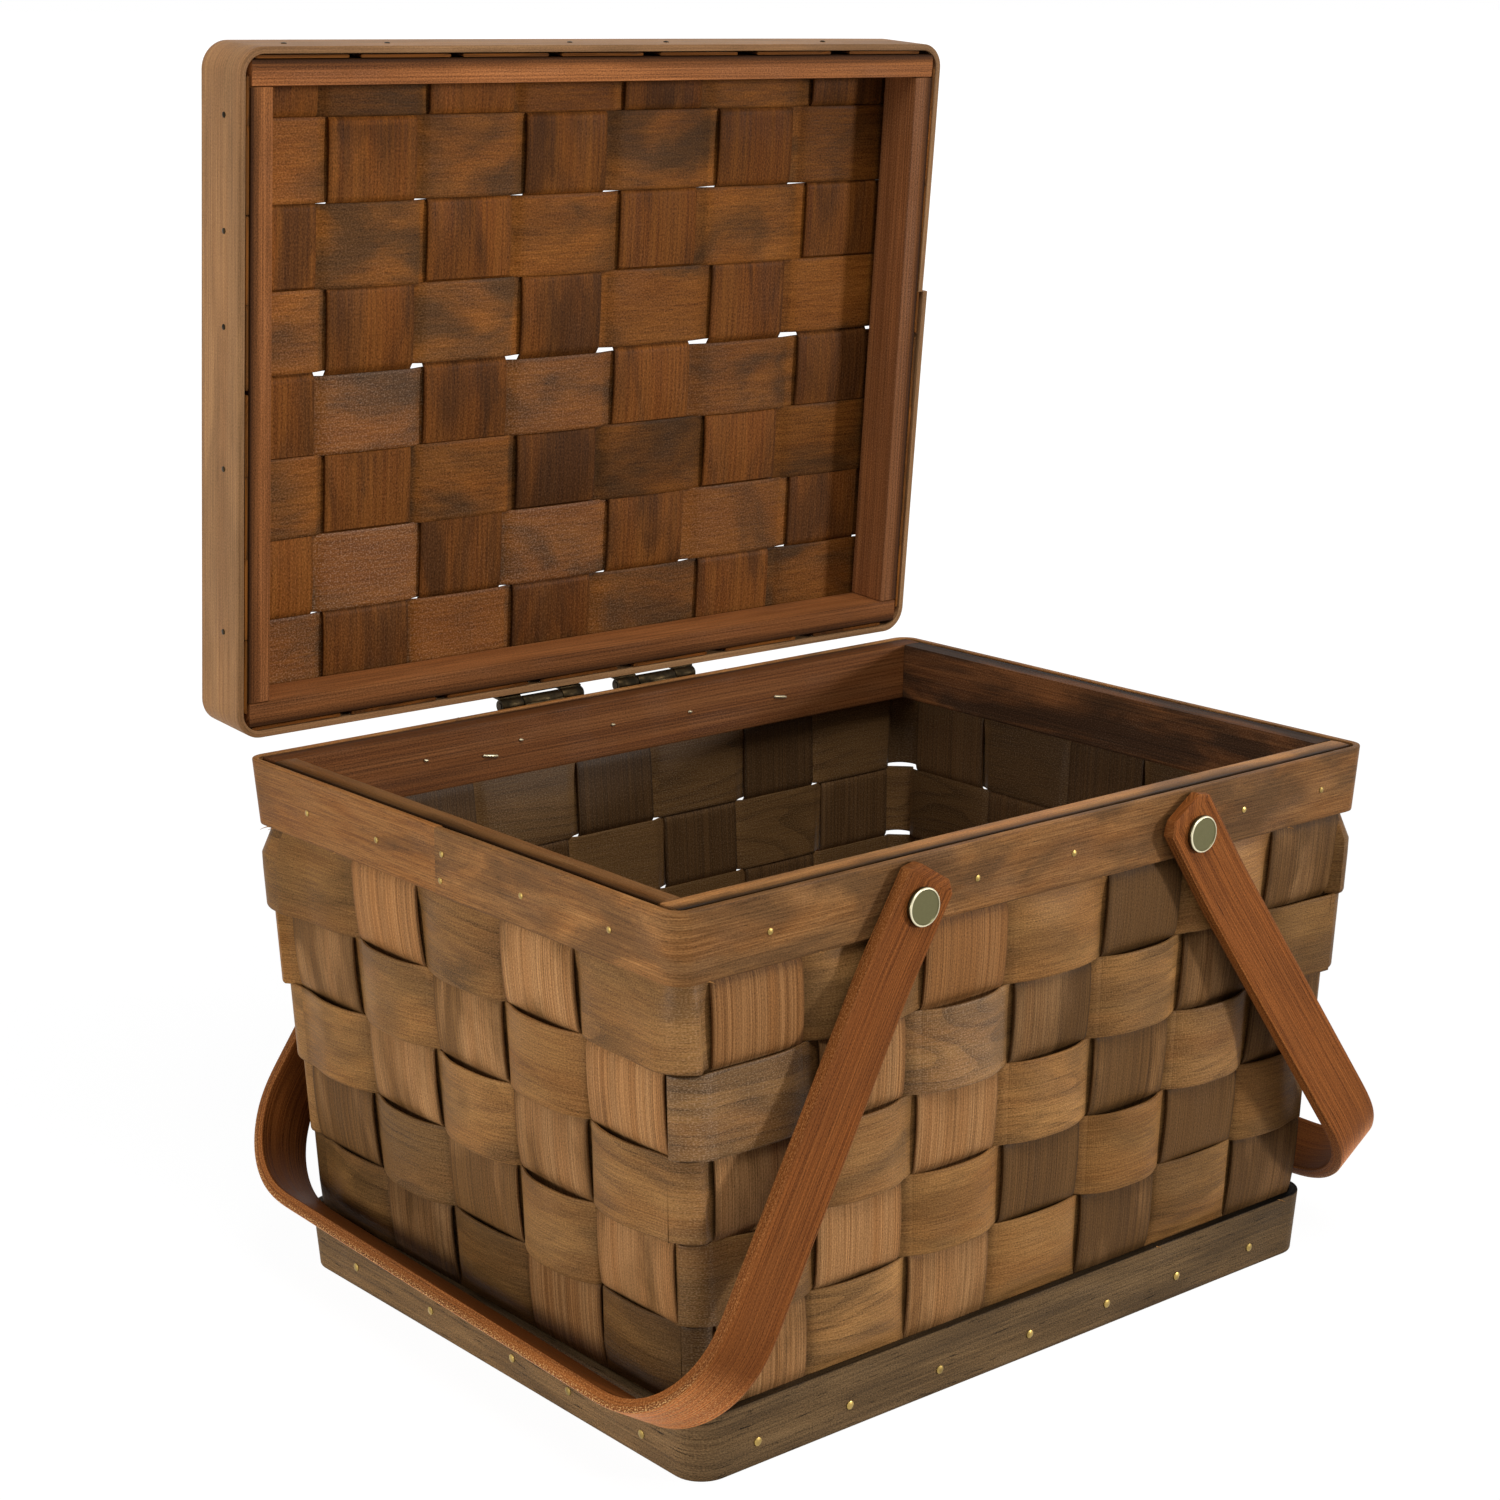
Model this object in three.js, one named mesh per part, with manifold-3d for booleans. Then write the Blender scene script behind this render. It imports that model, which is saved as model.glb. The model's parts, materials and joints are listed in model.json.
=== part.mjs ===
// A lidded picnic basket plaited from wood splints, with two bentwood swing handles.
// Millimetres. +X runs right along the front, +Y goes to the hinged back, +Z is up.
// The lid stands open and both handles hang against the ends of the basket.
import * as THREE from 'three';
import { mergeVertices } from 'three/addons/utils/BufferGeometryUtils.js';
import Module from 'manifold-3d';

const wasm = await Module();
wasm.setup();

// Outline of the basket, measured over its rim band and its base band
const rimWidth = 300;
const rimDepth = 230;
const rimHeight = 182;
const baseWidth = 274;
const baseDepth = 215;

// Splints and the way they are plaited
const splintThickness = 1.0;
const crossingGap = 0.4;
const seatGap = 0.3;
const crossStakeCount = 7;
const longStakeCount = 5;
const stakeGap = 3.2;
const rowCount = 5;
const rowGap = 2.0;
const rowBulge = 3.6;
const rimRowShare = 0.65;
const footRowShare = 0.55;
const plaitCorner = 7;
const floorLevel = 3.5;
const floorBend = 4;
const trim = 0.5;

// Rim and foot
const rimBandHeight = 22.6;
const rimBandThickness = 2.3;
const rimCorner = 6.5;
const rimRailHeight = 21;
const rimRailThickness = 8.3;
const railJoint = 0.2;
const baseBandHeight = 22;
const baseBandThickness = 3;
const baseCorner = 10;

// Lid, measured as a shallow tray that stands on its woven panel
const lidWidth = 301;
const lidDepth = 226.5;
const lidBandHeight = 24;
const lidBandThickness = 2.3;
const lidCorner = 9;
const lidRailThickness = 8.3;
const lidPanelLevel = 3.5;
const lidPanelBend = 3;
const lidCrossCount = 7;
const lidCrossGap = 6.5;
const lidLongWidth = 26.3;
const lidLongGap = 1.5;
const lidOpenAngle = 85.7;

// Hinges
const hingeSpacing = 52;
const hingeLength = 36;
const hingeLeafHeight = 13;
const hingeLeafThickness = 0.9;
const hingeBarrelRadius = 2.4;
const hingePinRadius = 1.25;
const hingeAxisOffset = 3.25;
const hingeMiddleShare = 0.48;
const knuckleGap = 0.25;
const partingGap = 0.2;
const runningGap = 0.1;

// Handles and rivets
const handleWidth = 21;
const handleThickness = 4.4;
const handleReach = 165;
const handleTail = 13;
const handleChamfer = 4.5;
const handleBend = 34;
const handleStraight = 24;
const handleFlareAngle = 4;
const rightHandleSpringAngle = 1.2;
const handleGap = 0.5;
const pivotX = 61;
const pivotDrop = 14;
const rivetCapRadius = 6.1;
const rivetCapHeight = 1.7;
const rivetShankRadius = 1.5;
const rivetTip = 1.5;

// Facets
const cornerCount = 4;
const bendCount = 2;
const loopCount = 8;
const roundCount = 16;

// Colours
const stakeWood = new THREE.MeshStandardMaterial({ color: 0x8a6743, roughness: 0.62, metalness: 0 });
const weaverWood = new THREE.MeshStandardMaterial({ color: 0x6f4f2f, roughness: 0.55, metalness: 0 });
const rimWood = new THREE.MeshStandardMaterial({ color: 0x765434, roughness: 0.6, metalness: 0 });
const railWood = new THREE.MeshStandardMaterial({ color: 0x7d5130, roughness: 0.6, metalness: 0 });
const baseWood = new THREE.MeshStandardMaterial({ color: 0x5c4a33, roughness: 0.65, metalness: 0 });
const lidWood = new THREE.MeshStandardMaterial({ color: 0x6b4423, roughness: 0.45, metalness: 0 });
const handleWood = new THREE.MeshStandardMaterial({ color: 0x84492a, roughness: 0.5, metalness: 0 });
const agedBrass = new THREE.MeshStandardMaterial({ color: 0x6d5a38, roughness: 0.4, metalness: 1 });
const paleBrass = new THREE.MeshStandardMaterial({ color: 0xb9b08a, roughness: 0.25, metalness: 1 });

// Values that follow from the sizes above
const halfSplint = splintThickness / 2;
const lift = (splintThickness + crossingGap) / 2;
const seat = halfSplint + seatGap;
const handleArm = rimDepth / 2 + handleGap + handleThickness / 2;
const pivotZ = rimHeight - pivotDrop;
const degrees = THREE.MathUtils.degToRad;

// The middle surface of a plaited wall: a rectangle that may widen from its floor to its rim.
// Sides are numbered left, front, right, back, and each one is walked anticlockwise from above.
const sides = [
  { out: [-1, 0], along: [0, -1], axis: 0 },
  { out: [0, -1], along: [1, 0], axis: 1 },
  { out: [1, 0], along: [0, 1], axis: 0 },
  { out: [0, 1], along: [-1, 0], axis: 1 },
];

class Shell {
  constructor(floorHalf, rimHalf, height) {
    this.floorHalf = floorHalf;
    this.rimHalf = rimHalf;
    this.height = height;
  }

  half(axis, z) {
    return THREE.MathUtils.lerp(this.floorHalf[axis], this.rimHalf[axis], z / this.height);
  }

  wallPoint(side, along, z, offset) {
    const { out, along: tangent, axis } = sides[side];
    const distance = this.half(axis, z) + offset;
    return new THREE.Vector3(out[0] * distance + tangent[0] * along, out[1] * distance + tangent[1] * along, z);
  }

  // A point on the rounded corner that follows a side; turn runs from 0 to 1.
  cornerPoint(side, turn, z, offset, radius) {
    const first = sides[side].out;
    const second = sides[(side + 1) % sides.length].out;
    const angle = turn * Math.PI / 2;
    const reach = (axis) => this.half(axis, z) - radius;
    const xHalf = reach(0);
    const yHalf = reach(1);
    const round = radius + offset;
    const x = (first[0] + second[0]) * xHalf + round * (first[0] * Math.cos(angle) + second[0] * Math.sin(angle));
    const y = (first[1] + second[1]) * yHalf + round * (first[1] * Math.cos(angle) + second[1] * Math.sin(angle));
    return new THREE.Vector3(x, y, z);
  }
}

// Solids

function signedVolume(geometry) {
  const position = geometry.getAttribute('position');
  const index = geometry.getIndex();
  const corners = [new THREE.Vector3(), new THREE.Vector3(), new THREE.Vector3()];
  let volume = 0;
  for (let i = 0; i < index.count; i += 3) {
    corners.forEach((corner, k) => corner.fromBufferAttribute(position, index.getX(i + k)));
    volume += corners[0].dot(corners[1].clone().cross(corners[2])) / 6;
  }
  return volume;
}

// A solid through a row of four-cornered sections, closed into a ring or capped at both ends.
function loft(sections, ring) {
  const positions = sections.flatMap((section) => section.flatMap((corner) => corner.toArray()));
  const size = 4;
  const indices = [];
  const spans = ring ? sections.length : sections.length - 1;
  for (let i = 0; i < spans; i += 1) {
    const here = i * size;
    const next = ((i + 1) % sections.length) * size;
    for (let k = 0; k < size; k += 1) {
      const after = (k + 1) % size;
      indices.push(here + k, next + k, next + after, here + k, next + after, here + after);
    }
  }
  if (!ring) {
    const last = (sections.length - 1) * size;
    indices.push(0, 1, 2, 0, 2, 3, last, last + 2, last + 1, last, last + 3, last + 2);
  }
  const geometry = new THREE.BufferGeometry();
  geometry.setAttribute('position', new THREE.Float32BufferAttribute(positions, 3));
  geometry.setIndex(indices);
  if (signedVolume(geometry) < 0) {
    geometry.setIndex(indices.map((_, i) => indices[i - (i % 3) + 2 - (i % 3)]));
  }
  geometry.computeVertexNormals();
  return geometry;
}

function toSolid(geometry) {
  const bare = new THREE.BufferGeometry();
  bare.setAttribute('position', geometry.getAttribute('position').clone());
  bare.setIndex(geometry.getIndex() ? geometry.getIndex().clone() : null);
  const merged = mergeVertices(bare, 1e-4);
  const vertProperties = new Float32Array(merged.getAttribute('position').array);
  const triVerts = new Uint32Array(merged.getIndex().array);
  return new wasm.Manifold(new wasm.Mesh({ numProp: 3, vertProperties, triVerts }));
}

function toGeometry(solid) {
  const mesh = solid.getMesh();
  const geometry = new THREE.BufferGeometry();
  geometry.setAttribute('position', new THREE.Float32BufferAttribute(mesh.vertProperties, mesh.numProp));
  geometry.setIndex([...mesh.triVerts]);
  geometry.computeVertexNormals();
  return geometry;
}

function joined(...geometries) {
  return toGeometry(geometries.map(toSolid).reduce((sum, solid) => sum.add(solid)));
}

function drilled(geometry, ...tools) {
  return toGeometry(tools.map(toSolid).reduce((rest, tool) => rest.subtract(tool), toSolid(geometry)));
}

// A round bar along Y that runs right through whatever lies between two distances from the middle.
function barAlongY(x, z, radius, from, to) {
  const bar = new THREE.CylinderGeometry(radius, radius, Math.abs(to - from), roundCount);
  return bar.translate(x, (from + to) / 2, z);
}

// A flat outline in the plane of Y and Z, extruded along X about a centre.
function extrudedAlongX(shape, centre, length) {
  const solid = new THREE.ExtrudeGeometry(shape, { depth: length, bevelEnabled: false, curveSegments: roundCount });
  const turn = new THREE.Matrix4().makeBasis(
    new THREE.Vector3(0, 1, 0),
    new THREE.Vector3(0, 0, 1),
    new THREE.Vector3(1, 0, 0),
  );
  return solid.applyMatrix4(turn).translate(centre - length / 2, 0, 0);
}

function named(name, geometry, material) {
  const mesh = new THREE.Mesh(geometry, material);
  mesh.name = name;
  return mesh;
}

// Bands, rails and plaited rings

function band(shell, low, high, inner, outer, outerCorner) {
  const radius = outerCorner - outer;
  const sections = [];
  sides.forEach((_, side) => {
    for (let step = 0; step <= cornerCount; step += 1) {
      const point = (z, offset) => shell.cornerPoint(side, step / cornerCount, z, offset, radius);
      sections.push([point(low, outer), point(high, outer), point(high, inner), point(low, inner)]);
    }
  });
  return loft(sections, true);
}

// A straight rail against the inner face of a side; ends says how far its ends stay off the next walls.
// easing takes off the outer corners, so that they clear the rounded corners of the band.
function rail(shell, side, low, high, thickness, ends, easing) {
  const otherAxis = 1 - sides[side].axis;
  const section = (sign, back, set) => {
    const along = (z) => sign * (shell.half(otherAxis, z) - ends - back);
    const point = (z, offset) => shell.wallPoint(side, along(z), z, offset);
    const outer = -seat - set;
    const inner = -seat - thickness;
    return [point(low, outer), point(high, outer), point(high, inner), point(low, inner)];
  };
  const half = (sign) => (easing > 0 ? [section(sign, 0, easing), section(sign, easing, 0)] : [section(sign, 0, 0)]);
  return loft([...half(-1), ...half(1).reverse()], false);
}

function frameOfRails(shell, { low, high, thickness, corner, names, bores }) {
  return names.map((name, side) => {
    const runsThrough = side % 2 === 1;
    const ends = runsThrough ? seat : seat + thickness + railJoint;
    const plain = rail(shell, side, low, high, thickness, ends, runsThrough ? corner / 3 : 0);
    return named(name, runsThrough && bores.length > 0 ? drilled(plain, ...bores) : plain, railWood);
  });
}

// A row is plaited over a cross stake when row and stake number add to an odd sum, over a long one when even.
const overCross = (row, number) => (row + number) % 2 === 1;
const overLong = (row, number) => (row + number) % 2 === 0;

// The first and the last row lie flatter, because rim and foot hold one of their edges.
const rowShares = new Map([[1, rimRowShare], [rowCount, footRowShare]]);
const bulgeOf = (row) => rowBulge * (rowShares.get(row) ?? 1);

function weaver(shell, row, low, high, crossStakes, longStakes) {
  const stakesBySide = [
    { stakes: longStakes, sign: -1, over: overLong },
    { stakes: crossStakes, sign: 1, over: overCross },
    { stakes: [...longStakes].reverse(), sign: 1, over: overLong },
    { stakes: [...crossStakes].reverse(), sign: -1, over: overCross },
  ];
  const stations = [];
  stakesBySide.forEach(({ stakes, sign, over }, side) => {
    stakes.forEach((stake) => {
      const edge = stake.width / 2 + seatGap;
      const bowed = [-edge, -edge / 2, 0, edge / 2, edge];
      const flat = [-edge, edge];
      const isOver = over(row, stake.number);
      (isOver ? bowed : flat).forEach((step) => {
        const bulge = bulgeOf(row) * (1 - (step / edge) ** 2);
        const at = (z, offset) => shell.wallPoint(side, sign * stake.centre(z) + step, z, offset);
        stations.push({ at, offset: isOver ? lift + bulge : -lift });
      });
    });
    const last = over(row, stakes[stakes.length - 1].number);
    for (let step = 0; step <= cornerCount; step += 1) {
      const turn = step / cornerCount;
      const dive = THREE.MathUtils.smoothstep(last ? turn * turn : (1 - turn) * (1 - turn), 0, 1);
      const at = (z, offset) => shell.cornerPoint(side, turn, z, offset, plaitCorner);
      stations.push({ at, offset: lift * (1 - dive) });
    }
  });
  const sections = stations.map(({ at, offset }) => [
    at(low, offset + halfSplint),
    at(high, offset + halfSplint),
    at(high, offset - halfSplint),
    at(low, offset - halfSplint),
  ]);
  return loft(sections, true);
}

// A splint that comes down one wall, crosses the floor and goes up the far wall.
// rows gives the heights where rings cross it; crossed gives the splints that it meets on the floor.
function stake(shell, strip, { level, bend, top, rowEdges, isOutside, crossed, isUpper, runAxis }) {
  const stations = [];
  const wallAndBend = (sign) => {
    const rising = [];
    const wall = (z, offset) => {
      const run = sign * shell.half(runAxis, z);
      rising.push({ run, z, turn: [sign, 0], offset, centre: strip.centre(z) });
    };
    wall(top, 0);
    if (rowEdges.length > 0) {
      wall(rowEdges[0].high + rowGap, 0);
    }
    rowEdges.forEach(({ low, high }, index) => {
      const offset = isOutside(index + 1, strip.number) ? lift : -lift;
      wall(high + seatGap, offset);
      wall(low - seatGap, offset);
    });
    if (rowEdges.length > 0) {
      wall(rowEdges[rowEdges.length - 1].low - rowGap, 0);
    }
    const bendTop = level + bend;
    const bendCentre = shell.half(runAxis, bendTop) - bend;
    for (let step = 0; step <= bendCount; step += 1) {
      const angle = step / bendCount * Math.PI / 2;
      const run = sign * (bendCentre + bend * Math.cos(angle));
      const z = bendTop - bend * Math.sin(angle);
      const turn = [sign * Math.cos(angle), -Math.sin(angle)];
      rising.push({ run, z, turn, offset: 0, centre: strip.centre(bendTop) });
    }
    return rising;
  };
  stations.push(...wallAndBend(-1));
  const met = [...crossed].sort((a, b) => a.centre(level) - b.centre(level));
  met.forEach((other) => {
    const offset = isUpper(strip.number, other.number) ? -lift : lift;
    const edge = other.width / 2 + seatGap;
    [-edge, edge].forEach((step) => {
      const run = other.centre(level) + step;
      stations.push({ run, z: level, turn: [0, -1], offset, centre: strip.centre(level + bend) });
    });
  });
  stations.push(...wallAndBend(1).reverse());
  const sections = stations.map(({ run, z, turn, offset, centre }) => {
    const corner = (across, face) => {
      const out = offset + face * halfSplint;
      const along = run + turn[0] * out;
      const height = z + turn[1] * out;
      const side = centre + across * strip.width / 2;
      return runAxis === 1 ? new THREE.Vector3(side, along, height) : new THREE.Vector3(along, side, height);
    };
    return [corner(-1, 1), corner(1, 1), corner(1, -1), corner(-1, -1)];
  });
  return loft(sections, false);
}

// Basket body

const bodyFloorHalf = [baseWidth, baseDepth].map((size) => size / 2 - baseBandThickness - seat);
const bodyRimHalf = [rimWidth, rimDepth].map((size) => size / 2 - rimBandThickness - seat);
const bodyShell = new Shell(bodyFloorHalf, bodyRimHalf, rimHeight);

// Stakes share out the straight part of their wall, so they fan out towards the rim.
function fannedStakes(axis, count, sign) {
  const pitch = (z) => 2 * (bodyShell.half(axis, z) - plaitCorner) / count;
  return Array.from({ length: count }, (_, i) => ({
    number: i + 1,
    width: pitch(0) - stakeGap,
    centre: (z) => sign * (i - (count - 1) / 2) * pitch(z),
  }));
}

const crossStakes = fannedStakes(0, crossStakeCount, 1);
const longStakes = fannedStakes(1, longStakeCount, -1);

const plaitTop = rimHeight - Math.max(rimBandHeight, rimRailHeight) - rowGap / 2;
const plaitLow = baseBandHeight + rowGap / 2;
const rowPitch = (plaitTop - plaitLow) / rowCount;
const rowEdges = Array.from({ length: rowCount }, (_, i) => ({
  high: plaitTop - i * rowPitch - rowGap / 2,
  low: plaitTop - (i + 1) * rowPitch + rowGap / 2,
}));

const bodyPlait = { level: floorLevel, bend: floorBend, top: rimHeight - trim, rowEdges };
const crossIsUpper = (cross, long) => (cross + long) % 2 === 0;
const longIsUpper = (long, cross) => !crossIsUpper(cross, long);

const basket = new THREE.Group();

crossStakes.forEach((strip) => {
  const plait = {
    ...bodyPlait,
    isOutside: (row, number) => !overCross(row, number),
    crossed: longStakes,
    isUpper: crossIsUpper,
    runAxis: 1,
  };
  basket.add(named(`cross_stake_${strip.number}`, stake(bodyShell, strip, plait), stakeWood));
});

longStakes.forEach((strip) => {
  const plait = {
    ...bodyPlait,
    isOutside: (row, number) => !overLong(row, number),
    crossed: crossStakes,
    isUpper: longIsUpper,
    runAxis: 0,
  };
  basket.add(named(`long_stake_${strip.number}`, stake(bodyShell, strip, plait), stakeWood));
});

rowEdges.forEach(({ low, high }, index) => {
  const ring = weaver(bodyShell, index + 1, low, high, crossStakes, longStakes);
  basket.add(named(`weaver_row_${index + 1}`, ring, weaverWood));
});

const rivetBores = [-1, 1].map((side) => (
  barAlongY(side * pivotX, pivotZ, rivetShankRadius + runningGap, -rimDepth, rimDepth)
));
const rimBand = band(
  bodyShell,
  rimHeight - rimBandHeight,
  rimHeight,
  seat,
  seat + rimBandThickness,
  rimCorner,
);
basket.add(named('rim_band', drilled(rimBand, ...rivetBores), rimWood));

const rimRails = {
  low: rimHeight - rimRailHeight,
  high: rimHeight,
  thickness: rimRailThickness,
  corner: rimCorner,
  names: ['rim_rail_left', 'rim_rail_front', 'rim_rail_right', 'rim_rail_back'],
  bores: rivetBores,
};
basket.add(...frameOfRails(bodyShell, rimRails));

const baseBand = band(bodyShell, 0, baseBandHeight, seat, seat + baseBandThickness, baseCorner);
basket.add(named('base_band', baseBand, baseWood));

// Lid, built as a tray with its panel below, then turned over and stood open on its hinges

const lidHalf = [lidWidth, lidDepth].map((size) => size / 2 - lidBandThickness - seat);
const lidShell = new Shell(lidHalf, lidHalf, lidBandHeight);

// Strips keep to the straight part of each side, clear of the band's rounded corners.
const lidStraight = lidHalf.map((half) => half - lidCorner + lidBandThickness + seat);

const lidCrossPitch = (2 * lidStraight[0] + lidCrossGap) / lidCrossCount;
const lidCrossStrips = Array.from({ length: lidCrossCount }, (_, i) => ({
  number: i + 1,
  width: lidCrossPitch - lidCrossGap,
  centre: () => (i - (lidCrossCount - 1) / 2) * lidCrossPitch,
}));

// Long strips start beside the hinges at full width; the last one is trimmed to fit the free edge.
const lidLongPitch = lidLongWidth + lidLongGap;
const lidLongSpan = 2 * lidStraight[1] + lidLongGap;
const lidLongCount = Math.round(lidLongSpan / lidLongPitch);
const lidLongStrips = Array.from({ length: lidLongCount }, (_, i) => {
  const place = lidLongCount - 1 - i;
  const width = i === 0 ? lidLongSpan - (lidLongCount - 1) * lidLongPitch - lidLongGap : lidLongWidth;
  const centre = -lidLongSpan / 2 + place * lidLongPitch + lidLongGap / 2 + width / 2;
  return { number: i + 1, width, centre: () => centre };
});

const lidPlait = { level: lidPanelLevel, bend: lidPanelBend, top: lidBandHeight - trim, rowEdges: [] };
const lidCrossIsUpper = (cross, long) => (cross + long) % 2 === 0;
const lidLongIsUpper = (long, cross) => !lidCrossIsUpper(cross, long);

const tray = new THREE.Group();

lidCrossStrips.forEach((strip) => {
  const plait = { ...lidPlait, crossed: lidLongStrips, isUpper: lidCrossIsUpper, runAxis: 1 };
  tray.add(named(`lid_cross_strip_${strip.number}`, stake(lidShell, strip, plait), lidWood));
});

lidLongStrips.forEach((strip) => {
  const plait = { ...lidPlait, crossed: lidCrossStrips, isUpper: lidLongIsUpper, runAxis: 0 };
  tray.add(named(`lid_long_strip_${strip.number}`, stake(lidShell, strip, plait), lidWood));
});

const lidBand = band(lidShell, 0, lidBandHeight, seat, seat + lidBandThickness, lidCorner);
tray.add(named('lid_band', lidBand, rimWood));

const lidRails = {
  low: lidPanelLevel + lidPanelBend,
  high: lidBandHeight,
  thickness: lidRailThickness,
  corner: lidCorner,
  names: ['lid_rail_left', 'lid_rail_back', 'lid_rail_right', 'lid_rail_front'],
  bores: [],
};
tray.add(...frameOfRails(lidShell, lidRails));

tray.rotation.x = Math.PI;
tray.position.set(0, -hingeAxisOffset - lidDepth / 2, partingGap + lidBandHeight);

const lid = new THREE.Group();
lid.add(tray);
lid.position.set(0, rimDepth / 2 + hingeAxisOffset, rimHeight + partingGap);
lid.rotation.x = -degrees(lidOpenAngle);
basket.add(lid);

// Hinges, drawn about their axis; a leaf goes down the rim (direction -1) or up the closed lid (1)

const barrelClear = hingeBarrelRadius + seatGap;
const leafFace = -hingeAxisOffset + seatGap;
const bore = hingePinRadius + runningGap;

function plate(from, to) {
  const [low, high] = [Math.min(from, to), Math.max(from, to)];
  return new THREE.Shape([
    new THREE.Vector2(leafFace, low),
    new THREE.Vector2(leafFace + hingeLeafThickness, low),
    new THREE.Vector2(leafFace + hingeLeafThickness, high),
    new THREE.Vector2(leafFace, high),
  ]);
}

function knuckle() {
  const ring = new THREE.Shape();
  ring.absarc(0, 0, hingeBarrelRadius, 0, 2 * Math.PI);
  return ring;
}

function hingeLeaf(direction, knuckles) {
  const leaf = extrudedAlongX(plate(direction * barrelClear, direction * (barrelClear + hingeLeafHeight)), 0, hingeLength);
  const pieces = [leaf];
  knuckles.forEach(({ centre, length }) => {
    pieces.push(extrudedAlongX(plate(0, direction * (barrelClear + hingeLeafThickness)), centre, length));
    pieces.push(extrudedAlongX(knuckle(), centre, length));
  });
  const hole = new THREE.CylinderGeometry(bore, bore, 2 * hingeLength, roundCount).rotateZ(Math.PI / 2);
  return drilled(joined(...pieces), hole);
}

const middleLength = hingeLength * hingeMiddleShare - knuckleGap;
const outerLength = (hingeLength - middleLength) / 2 - knuckleGap;
const outerCentre = (hingeLength - outerLength) / 2;
const bodyKnuckles = [{ centre: 0, length: middleLength }];
const lidKnuckles = [-1, 1].map((side) => ({ centre: side * outerCentre, length: outerLength }));

[['left', -1], ['right', 1]].forEach(([label, side]) => {
  const x = side * hingeSpacing / 2;
  const bodyLeaf = named(`hinge_leaf_${label}`, hingeLeaf(-1, bodyKnuckles), agedBrass);
  const pinShape = new THREE.CylinderGeometry(hingePinRadius, hingePinRadius, hingeLength + trim, roundCount);
  const pin = named(`hinge_pin_${label}`, pinShape.rotateZ(Math.PI / 2), agedBrass);
  [bodyLeaf, pin].forEach((piece) => {
    piece.position.set(x, lid.position.y, lid.position.z);
    basket.add(piece);
  });
  const lidLeaf = named(`lid_hinge_leaf_${label}`, hingeLeaf(1, lidKnuckles), agedBrass);
  lidLeaf.position.x = x;
  lid.add(lidLeaf);
});

// Handles: a strip bent into a loop, drawn in the plane of its own legs.
// reach runs from the pivots towards the bight, breadth across the basket.

function handleCentreLine() {
  const flare = degrees(handleFlareAngle);
  const wide = handleArm + Math.tan(flare) * (handleReach - handleStraight);
  const turn = Math.PI / 2 + flare;
  const cut = handleBend * Math.tan(turn / 2);
  const bendStart = new THREE.Vector2(handleReach - cut * Math.cos(flare), wide - cut * Math.sin(flare));
  const bendCentre = new THREE.Vector2(handleReach - handleBend, wide - cut);
  const line = [
    { reach: -handleTail, breadth: handleArm, heading: 0, width: handleWidth - 2 * handleChamfer },
    { reach: -handleTail + handleChamfer, breadth: handleArm, heading: 0, width: handleWidth },
    { reach: handleStraight, breadth: handleArm, heading: flare / 2, width: handleWidth },
  ];
  const startAngle = Math.atan2(bendStart.y - bendCentre.y, bendStart.x - bendCentre.x);
  for (let step = 0; step <= loopCount; step += 1) {
    const angle = startAngle * (1 - step / loopCount);
    line.push({
      reach: bendCentre.x + handleBend * Math.cos(angle),
      breadth: bendCentre.y + handleBend * Math.sin(angle),
      heading: angle - Math.PI / 2,
      width: handleWidth,
    });
  }
  const back = [...line].reverse().map((point) => ({
    ...point,
    breadth: -point.breadth,
    heading: -Math.PI - point.heading,
  }));
  return [...line, ...back];
}

// The loop hangs until the inner edge of its bight meets the bulge of the woven end.
function hangingAngle() {
  const inner = handleReach - handleThickness / 2;
  const corner = Math.hypot(inner, handleWidth / 2);
  const lean = Math.atan2(handleWidth / 2, inner);
  const endWall = bodyShell.half(0, baseBandHeight) + lift + halfSplint + bulgeOf(rowCount);
  const stop = Math.max(endWall, bodyShell.half(0, baseBandHeight) + seat + baseBandThickness) + handleGap;
  return lean + Math.asin((stop - pivotX) / corner);
}

function handle() {
  const sections = handleCentreLine().map(({ reach, breadth, heading, width }) => {
    const corner = (face, across) => {
      const shift = face * handleThickness / 2;
      const along = reach - Math.sin(heading) * shift;
      const over = breadth + Math.cos(heading) * shift;
      return new THREE.Vector3(across * width / 2, over, -along);
    };
    return [corner(1, -1), corner(1, 1), corner(-1, 1), corner(-1, -1)];
  });
  const pivotBore = barAlongY(0, 0, rivetShankRadius + runningGap, -rimDepth, rimDepth);
  return drilled(loft(sections, false), pivotBore);
}

// The right loop has sprung open a little and hangs clear of its end.
[['left', -1, 0], ['right', 1, rightHandleSpringAngle]].forEach(([label, side, spring]) => {
  const loop = named(`handle_${label}`, handle(), handleWood);
  loop.position.set(side * pivotX, 0, pivotZ);
  loop.rotation.y = -side * (hangingAngle() + degrees(spring));
  basket.add(loop);
});

// Rivets: a flat cap outside the handle, with a pointed shank driven through handle, band and rail

function rivet() {
  const capSeat = handleArm + handleThickness / 2 + seatGap;
  const railFace = bodyShell.half(1, pivotZ) - seat - rimRailThickness;
  const edge = rivetCapHeight / 3;
  const outline = [
    [0, capSeat + rivetCapHeight],
    [rivetCapRadius - edge, capSeat + rivetCapHeight],
    [rivetCapRadius, capSeat + rivetCapHeight - edge],
    [rivetCapRadius, capSeat],
    [rivetShankRadius, capSeat],
    [rivetShankRadius, railFace],
    [0, railFace - rivetTip],
  ];
  const profile = outline.reverse().map(([radius, along]) => new THREE.Vector2(radius, along));
  return new THREE.LatheGeometry(profile, roundCount);
}

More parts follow.
